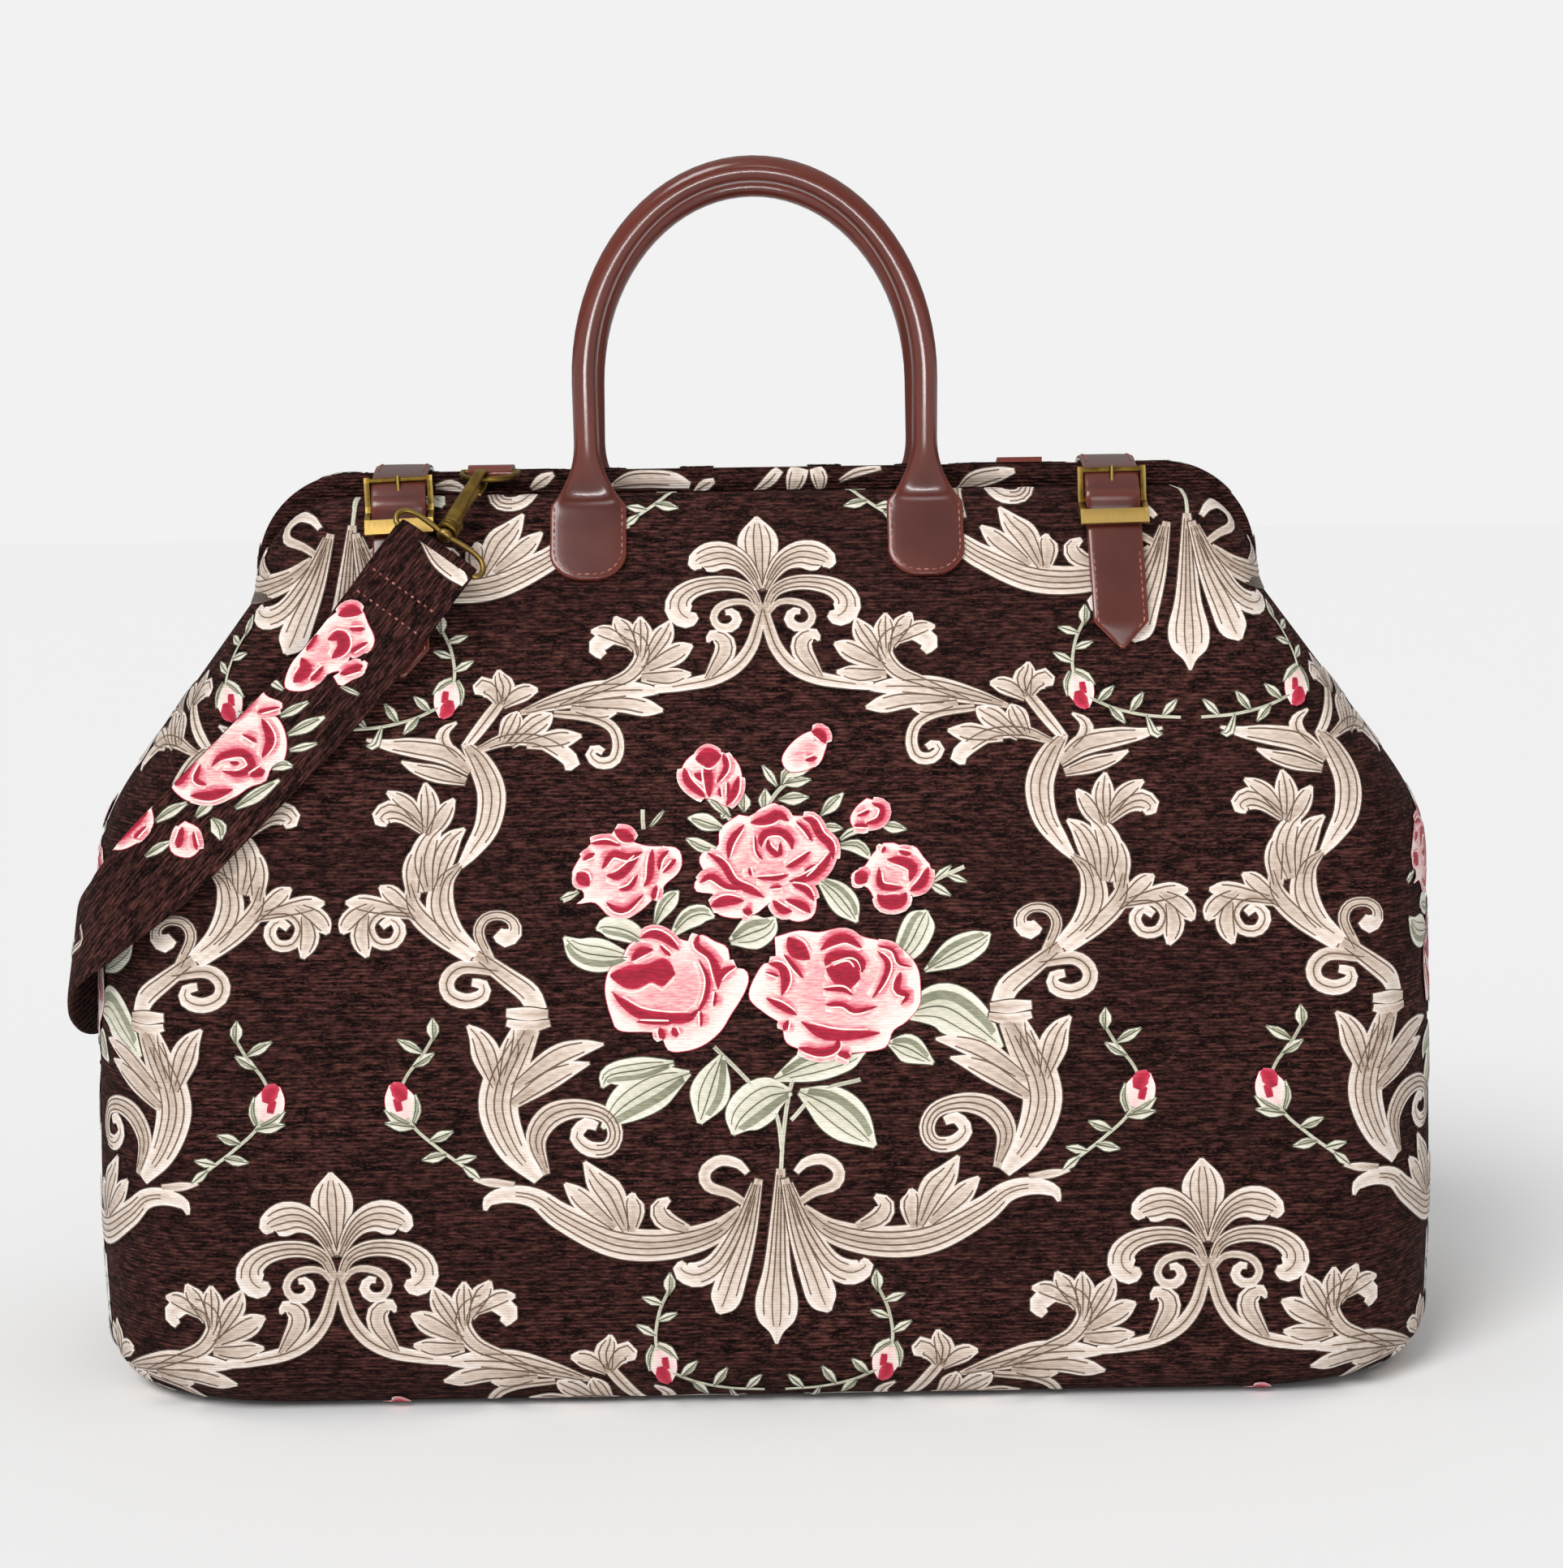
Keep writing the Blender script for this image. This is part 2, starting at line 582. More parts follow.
def panel(rise, back):
    top = JAW_TOP + rise
    foot = BASE_R * (1 - np.cos(np.linspace(0, math.pi / 2, ROUND_ROWS)))
    face = np.linspace(BASE_R, edge_z(rise), PANEL_ROWS)[1:]
    edge = np.sin(np.linspace(tilt(JAW_TOP), math.pi / 2, ROUND_ROWS))[1:]
    zs = np.concatenate([foot, face, top - EDGE_R + EDGE_R * edge])
    p = np.linspace(-1, 1, PANEL_COLS)[None, :] * half_girth(zs, rise)[:, None]
    v = body_point(p, np.repeat(zs[:, None], PANEL_COLS, 1), rise)
    rim = v[-1].copy()
    rows = [v]
    for t in RIM_STEPS:
        r = rim.copy()
        r[:, 1] = rim[:, 1] * (1 - t) - HALF_GAP * t
        r[:, 2] = rim[:, 2] - RIM_DIP * t ** 4
        rows.append(r[None])
    v = np.concatenate(rows)
    faces = grid_faces(len(v), PANEL_COLS)
    v = v.reshape(-1, 3)
    facing_z = np.linspace(FACING_Z, top, FACING_ROWS)
    facing_x = np.linspace(-1, 1, FACING_COLS)[None, :] * half_w(facing_z, rise)[:, None]
    facing = np.stack(np.broadcast_arrays(facing_x, -HALF_GAP, facing_z[:, None]), -1)
    faces += flipped(grid_faces(FACING_ROWS, FACING_COLS, False, len(v)))
    v = np.concatenate([v, facing.reshape(-1, 3)])
    return (v * TURN_ROUND if back else v), faces


BASE_COLS = 121
BASE_RINGS = ((1.0, 0.5), (0.99, 0.15), (0.9, 0.05), (0.6, 0.0), (0.3, 0.0), (0.02, 0.0))


def base_cloth():
    p = np.linspace(-1, 1, BASE_COLS) * half_girth(np.array([0.0]), 0.0)[0]
    front = body_point(p, np.zeros(BASE_COLS))
    ring = np.concatenate([front, (front * MIRROR_Y)[::-1]])
    v = np.concatenate([ring * np.array([s, s, 0]) + np.array([0, 0, h]) for s, h in BASE_RINGS])
    return v, flipped(grid_faces(len(BASE_RINGS), len(ring), True))


LINING_ROWS, LINING_COLS, LINING_LOW = 30, 81, 8.0


def lining_cloth():
    """Lining pouch, inside the outer cloth, open at the top."""
    zs = np.linspace(LINING_LOW, SHOULDER - 2, LINING_ROWS)
    p = np.linspace(-1, 1, LINING_COLS)[None, :] * half_girth(zs)[:, None]
    front = body_point(p, np.repeat(zs[:, None], LINING_COLS, 1), 0.0, -LINING_IN)
    ring = np.concatenate([front, (front * MIRROR_Y)[:, ::-1]], 1)
    floor = ring[:1] * np.array([0.02, 0.02, 1])
    v = np.concatenate([floor, ring])
    return v.reshape(-1, 3), flipped(grid_faces(len(v), v.shape[1], True))


put("front_panel_cloth", *panel(0.0, False), [CLOTH], replaces=("front_panel",), slot="carpet_cloth")
put("rear_panel_cloth", *panel(REAR_RISE, True), [CLOTH], replaces=("rear_panel",), slot="carpet_cloth")
put("lining_pouch", *lining_cloth(), [LINING], replaces=("lining",), slot="lining")
put("base_cloth", *base_cloth(), [CLOTH], replaces=("base_panel",), slot="carpet_cloth")


# Woven pattern: strokes named below lie at (u, v, width) in the 1926 x 1932 picture frame

AXIS_U, AXIS_V = np.array([934.0, 958.0]), np.array([660.0, 1600.0])
AXIS_P = float(np.mean(spot(AXIS_U, AXIS_V)[0]))
PX = 0.332

SIDE_SCROLL = {
    "low curl": [(1280, 1186, 12), (1322, 1180, 16), (1342, 1194, 18), (1340, 1213, 18), (1320, 1222, 18),
                 (1300, 1216, 17), (1298, 1203, 13), (1312, 1199, 9)],
    "inner curl": [(1288, 1174, 11), (1302, 1140, 13), (1293, 1121, 12), (1273, 1118, 11),
                   (1259, 1127, 13), (1258, 1140, 18), (1270, 1146, 22), (1279, 1139, 14)],
    "stem": [(1306, 1165, 16), (1270, 1193, 22), (1243, 1215, 26), (1233, 1237, 24)],
    "rosette top": [(1378, 1118, 12), (1398, 1098, 22), (1411, 1086, 22), (1422, 1078, 4)],
    "rosette crown": [(1385, 1113, 12), (1425, 1103, 24), (1448, 1098, 22), (1464, 1096, 4)],
    "rosette side": [(1430, 1100, 12), (1452, 1112, 24), (1464, 1124, 22), (1470, 1134, 5)],
    "rosette drop": [(1440, 1112, 12), (1446, 1134, 26), (1444, 1150, 22), (1440, 1164, 5)],
    "rosette curl": [(1386, 1112, 10), (1420, 1110, 12), (1436, 1126, 13), (1428, 1146, 13),
                     (1408, 1148, 14), (1398, 1132, 15), (1408, 1119, 12), (1421, 1127, 9)],
    "outer band": [(1386, 1076, 8), (1380, 1106, 22), (1356, 1134, 24), (1312, 1170, 14)],
    "outer leaf": [(1380, 1094, 14), (1380, 1064, 26), (1376, 1044, 22), (1371, 1028, 4)],
    "crest low": [(1360, 1018, 14), (1346, 1000, 24), (1336, 985, 20), (1327, 973, 4)],
    "crest top": [(1362, 1014, 14), (1359, 985, 28), (1360, 967, 22), (1362, 952, 4)],
    "crest tip": [(1366, 1006, 12), (1382, 982, 22), (1396, 970, 18), (1409, 962, 4)],
    "crest knob": [(1366, 1010, 12), (1388, 992, 20), (1406, 986, 28), (1418, 994, 22), (1410, 1002, 6)],
    "heart right": [(1362, 1086, 16), (1366, 1050, 36), (1358, 1024, 28), (1345, 1009, 5)],
    "heart left": [(1352, 1080, 14), (1345, 1048, 30), (1332, 1024, 24), (1315, 1010, 4)],
    "trunk": [(1321, 1054, 6), (1342, 1074, 24), (1348, 1106, 34), (1334, 1138, 28), (1304, 1164, 12)],
    "flag top": [(1306, 940, 12), (1335, 917, 27), (1375, 908, 24), (1406, 904, 14), (1432, 897, 3)],
    "flag low": [(1312, 952, 10), (1345, 942, 21), (1372, 934, 14), (1390, 925, 3)],
    "flag curl": [(1322, 922, 10), (1338, 904, 18), (1336, 889, 13), (1321, 879, 3)],
    "crescent": [(1312, 905, 10), (1294, 930, 28), (1281, 966, 34), (1287, 1006, 30), (1306, 1036, 20),
                 (1322, 1056, 8)],
}
ARCH_SCROLL = {
    "joint": [(1262, 850, 12), (1280, 872, 15), (1298, 894, 14), (1312, 910, 10)],
    "crown left": [(1264, 860, 10), (1246, 848, 22), (1232, 843, 20), (1220, 842, 5)],
    "crown top": [(1266, 858, 12), (1262, 838, 28), (1266, 826, 20), (1267, 816, 4)],
    "crown knob": [(1268, 856, 12), (1276, 842, 22), (1288, 836, 26), (1292, 846, 10)],
    "inner stem": [(1296, 914, 8), (1262, 902, 16), (1225, 903, 18), (1198, 916, 20), (1180, 933, 18),
                   (1190, 938, 8)],
    "inner leaf right": [(1266, 906, 12), (1254, 886, 28), (1249, 876, 22), (1245, 868, 4)],
    "inner leaf middle": [(1256, 908, 12), (1226, 886, 30), (1212, 878, 22), (1203, 872, 4)],
    "inner leaf left": [(1236, 908, 12), (1200, 904, 26), (1184, 902, 20), (1168, 900, 4)],
    "hanging curl": [(1201, 872, 8), (1155, 878, 12), (1130, 891, 13), (1123, 913, 14), (1130, 932, 15),
                     (1148, 934, 14), (1158, 923, 12), (1151, 916, 10), (1142, 921, 8)],
    "under leaf left": [(1170, 862, 12), (1118, 862, 22), (1088, 868, 22), (1067, 872, 4)],
    "under leaf right": [(1180, 866, 10), (1150, 872, 20), (1136, 873, 16), (1124, 872, 4)],
    "arch band": [(1242, 870, 6), (1200, 858, 20), (1150, 848, 30), (1104, 846, 22), (1072, 848, 8)],
    "fan first": [(1092, 830, 12), (1062, 832, 24), (1046, 830, 20), (1031, 828, 4)],
    "fan second": [(1090, 822, 12), (1056, 806, 27), (1040, 798, 22), (1028, 793, 4)],
    "fan third": [(1088, 814, 14), (1068, 786, 28), (1060, 774, 22), (1054, 762, 4)],
    "fan fourth": [(1092, 806, 14), (1091, 776, 28), (1091, 766, 20), (1091, 756, 4)],
    "fan fifth": [(1098, 796, 12), (1112, 772, 26), (1118, 763, 18), (1122, 755, 4)],
    "fan sixth": [(1104, 790, 10), (1130, 776, 22), (1142, 773, 16), (1152, 772, 4)],
    "fan spine": [(1200, 866, 5), (1140, 842, 14), (1106, 828, 20), (1089, 806, 22), (1092, 787, 20),
                  (1110, 777, 20), (1130, 780, 22), (1146, 792, 22), (1138, 803, 10)],
}
LOW_SCROLL = {
    "inner volute": [(1228, 1438, 8), (1240, 1396, 24), (1222, 1367, 28), (1188, 1358, 22),
                     (1154, 1367, 18), (1142, 1389, 18), (1151, 1408, 18), (1175, 1408, 18),
                     (1190, 1392, 16), (1178, 1377, 14), (1164, 1381, 10)],
    "top leaf far": [(1266, 1330, 14), (1215, 1296, 27), (1182, 1284, 20), (1153, 1280, 3)],
    "top leaf near": [(1268, 1350, 14), (1225, 1322, 27), (1198, 1310, 20), (1171, 1303, 3)],
    "shoulder leaf": [(1278, 1320, 14), (1268, 1290, 28), (1264, 1272, 20), (1262, 1255, 4)],
    "outer leaf": [(1286, 1328, 16), (1297, 1290, 34), (1306, 1268, 24), (1319, 1252, 4)],
    "bowl": [(1243, 1256, 26), (1262, 1290, 40), (1280, 1326, 46), (1284, 1362, 46), (1268, 1406, 36),
             (1238, 1444, 14)],
    "spur": [(1268, 1450, 7), (1296, 1446, 10), (1318, 1442, 2)],
    "base leaf left": [(1126, 1512, 12), (1122, 1486, 26), (1124, 1474, 20), (1122, 1464, 4)],
    "base leaf right": [(1146, 1506, 12), (1180, 1476, 26), (1194, 1462, 20), (1206, 1450, 4)],
    "base leaf middle": [(1132, 1510, 14), (1150, 1468, 36), (1166, 1448, 28), (1181, 1424, 4)],
    "base sprout": [(1056, 1512, 12), (1084, 1499, 24), (1091, 1483, 20), (1078, 1473, 6)],
    "base band": [(990, 1488, 10), (1025, 1516, 28), (1084, 1529, 36), (1147, 1523, 38), (1209, 1492, 32),
                  (1241, 1468, 24), (1272, 1461, 20), (1299, 1467, 14), (1305, 1480, 4)],
    "collar low": [(1218, 1252, 8), (1245, 1256, 14), (1271, 1250, 8)],
    "collar top": [(1220, 1241, 10), (1245, 1240, 16), (1271, 1238, 10)],
}
SHELLS = {
    "top volute": [(947, 756, 5), (957, 744, 7), (973, 741, 8), (992, 746, 9), (1001, 759, 9),
                   (995, 771, 10), (981, 773, 12), (972, 764, 12), (977, 754, 10), (986, 754, 7)],
    "top comma": [(1012, 836, 8), (998, 818, 20), (988, 802, 26), (990, 788, 24), (1004, 782, 14),
                  (1009, 790, 3)],
    "top stem": [(939, 745, 12), (947, 773, 14), (957, 799, 16), (976, 821, 17), (1005, 835, 17),
                 (1043, 842, 14), (1076, 846, 10)],
    "top arm": [(944, 750, 9), (954, 730, 14), (973, 720, 18), (998, 718, 20), (1024, 723, 24),
                (1041, 735, 30), (1043, 750, 34), (1032, 760, 26), (1021, 757, 8)],
    "top lobe": [(943, 727, 9), (953, 707, 17), (966, 692, 26), (985, 684, 36), (1004, 686, 40),
                 (1019, 692, 26), (1018, 700, 8)],
    "low volute": [(984, 1482, 8), (1003, 1469, 10), (1029, 1459, 13), (1033, 1441, 14), (1015, 1428, 13),
                   (993, 1432, 11), (981, 1444, 7)],
    "low outer leaf": [(972, 1458, 9), (992, 1507, 18), (1020, 1552, 26), (1046, 1567, 30),
                       (1066, 1560, 22), (1062, 1551, 6)],
    "low inner leaf": [(967, 1452, 9), (984, 1520, 22), (1003, 1570, 34), (1014, 1600, 34),
                       (1022, 1615, 6)],
}
AXIS_LEAVES = {
    "top bud": [(939, 728, 12), (936, 700, 34), (934, 674, 50), (933, 656, 42), (932, 637, 4)],
    "low leaf": [(962, 1440, 10), (960, 1500, 20), (958, 1560, 32), (957, 1600, 50), (957, 1625, 44),
                 (957, 1641, 16), (957, 1655, 3)],
}
PLAIN_STROKES = ("spur", "collar low", "collar top", "top volute", "low volute")
# sprigs: stem points, leaves as (u, v, lean in degrees from up, length, width), buds as (u, v, size, lean)
SPRIGS = {
    "upright": (
        [(1362, 1265), (1378, 1290), (1395, 1310), (1402, 1330), (1392, 1370), (1362, 1400), (1330, 1425)],
        [(1362, 1268, 0, 26, 15), (1376, 1284, 60, 34, 12), (1388, 1300, -60, 30, 12),
         (1388, 1375, 80, 36, 13), (1370, 1392, -70, 30, 12), (1350, 1410, 100, 30, 12),
         (1340, 1418, -80, 26, 10), (1330, 1425, 230, 26, 10)],
        [(1404, 1346, 27, 25)]),
    "hanging": (
        [(1082, 1585), (1094, 1610), (1100, 1640), (1098, 1662)],
        [(1082, 1590, -5, 26, 14), (1090, 1602, 70, 26, 10), (1096, 1622, -70, 24, 9),
         (1100, 1640, 60, 26, 10)],
        [(1092, 1674, 24, 200)]),
    "floor": (
        [(1080, 1686), (1050, 1698), (1010, 1706), (968, 1709)],
        [(1070, 1690, -50, 26, 11), (1056, 1696, -130, 24, 11), (1030, 1702, -40, 26, 11),
         (1010, 1706, -130, 24, 10), (990, 1707, -50, 24, 10)],
        []),
}
BOUQUET_SPRIGS = {
    "main stalk": ([(1000, 1240), (985, 1300), (972, 1350), (965, 1400), (962, 1450)], [], []),
    "left stalk": ([(880, 1290), (920, 1330), (955, 1370), (964, 1420)], [], []),
    "right stalk": ([(1060, 1330), (1010, 1345), (975, 1380)], [], []),
    "top": (
        [(940, 1000), (958, 975), (975, 960), (985, 948)],
        [(957, 968, -35, 30, 10), (965, 966, 80, 34, 13), (960, 985, 85, 36, 16), (943, 1000, 0, 28, 16)],
        []),
    "upper left": (
        [(880, 985), (900, 1010), (920, 1020)],
        [(917, 1000, 0, 22, 16), (893, 1003, -150, 6, 8)],
        []),
    "upper right": (
        [(1036, 1034), (1046, 1025), (1056, 1018)],
        [(1012, 1004, 45, 38, 16), (1012, 1018, 95, 26, 12), (1085, 1016, 100, 32, 14)],
        []),
    "right": (
        [(1140, 1090), (1165, 1078), (1188, 1068)],
        [(1150, 1085, 50, 28, 9), (1168, 1078, 110, 24, 8), (1145, 1088, 120, 30, 10)],
        []),
    "left": ([(712, 1098), (700, 1108), (694, 1110)], [(712, 1100, -110, 22, 9)], []),
    "antennae": ([(793, 1022), (792, 1010), (792, 998)], [(802, 1018, 40, 24, 5)], []),
}
BOUQUET_LEAVES = {
    "low dark": [(955, 1330, 6), (1000, 1312, 40), (1045, 1300, 34), (1066, 1296, 3)],
    "low right": [(985, 1345, 8), (1020, 1362, 50), (1050, 1385, 50), (1078, 1412, 6)],
    "low middle": [(975, 1345, 8), (945, 1352, 50), (915, 1376, 46), (903, 1398, 4)],
    "low left": [(890, 1300, 6), (880, 1330, 40), (872, 1355, 44), (862, 1384, 6)],
    "far left": [(850, 1322, 6), (810, 1338, 50), (770, 1362, 44), (742, 1390, 4)],
    "far left top": [(830, 1310, 6), (790, 1318, 30), (752, 1325, 24), (742, 1340, 3)],
    "right long": [(1110, 1250, 8), (1160, 1240, 56), (1200, 1262, 50), (1235, 1290, 4)],
    "right small": [(1095, 1285, 6), (1120, 1292, 34), (1150, 1310, 4)],
    "right top": [(1100, 1190, 6), (1120, 1165, 34), (1135, 1135, 36), (1142, 1122, 4)],
    "right far": [(1140, 1196, 4), (1175, 1175, 34), (1205, 1160, 28), (1220, 1150, 3)],
    "left top": [(780, 1180, 6), (745, 1178, 38), (715, 1172, 34), (695, 1155, 3)],
    "left inner": [(800, 1165, 6), (775, 1148, 26), (748, 1142, 24), (735, 1145, 3)],
    "left upright": [(808, 1138, 5), (818, 1118, 20), (828, 1106, 18), (836, 1098, 2)],
    "left arch": [(830, 1150, 8), (848, 1132, 24), (866, 1126, 22), (880, 1130, 3)],
    "middle": [(900, 1160, 8), (925, 1150, 40), (945, 1142, 30), (955, 1130, 3)],
    "under top rose": [(1010, 1084, 8), (1030, 1100, 30), (1045, 1118, 30), (1056, 1136, 3)],
    "beside top rose": [(1036, 1042, 6), (1055, 1042, 16), (1066, 1050, 12), (1072, 1058, 2)],
    "upper left": [(890, 1020, 5), (872, 1014, 20), (860, 1010, 16), (848, 1008, 2)],
    "upper left low": [(882, 1046, 5), (868, 1044, 14), (856, 1038, 12), (846, 1034, 2)],
    "top bud calyx": [(899, 1006, 3), (890, 996, 12), (882, 988, 14), (872, 984, 3)],
    "right bud calyx": [(964, 966, 3), (970, 952, 14), (985, 950, 12), (1000, 944, 3)],
    "small bud calyx": [(1036, 1034, 3), (1046, 1026, 8), (1058, 1022, 8), (1072, 1022, 2)],
}
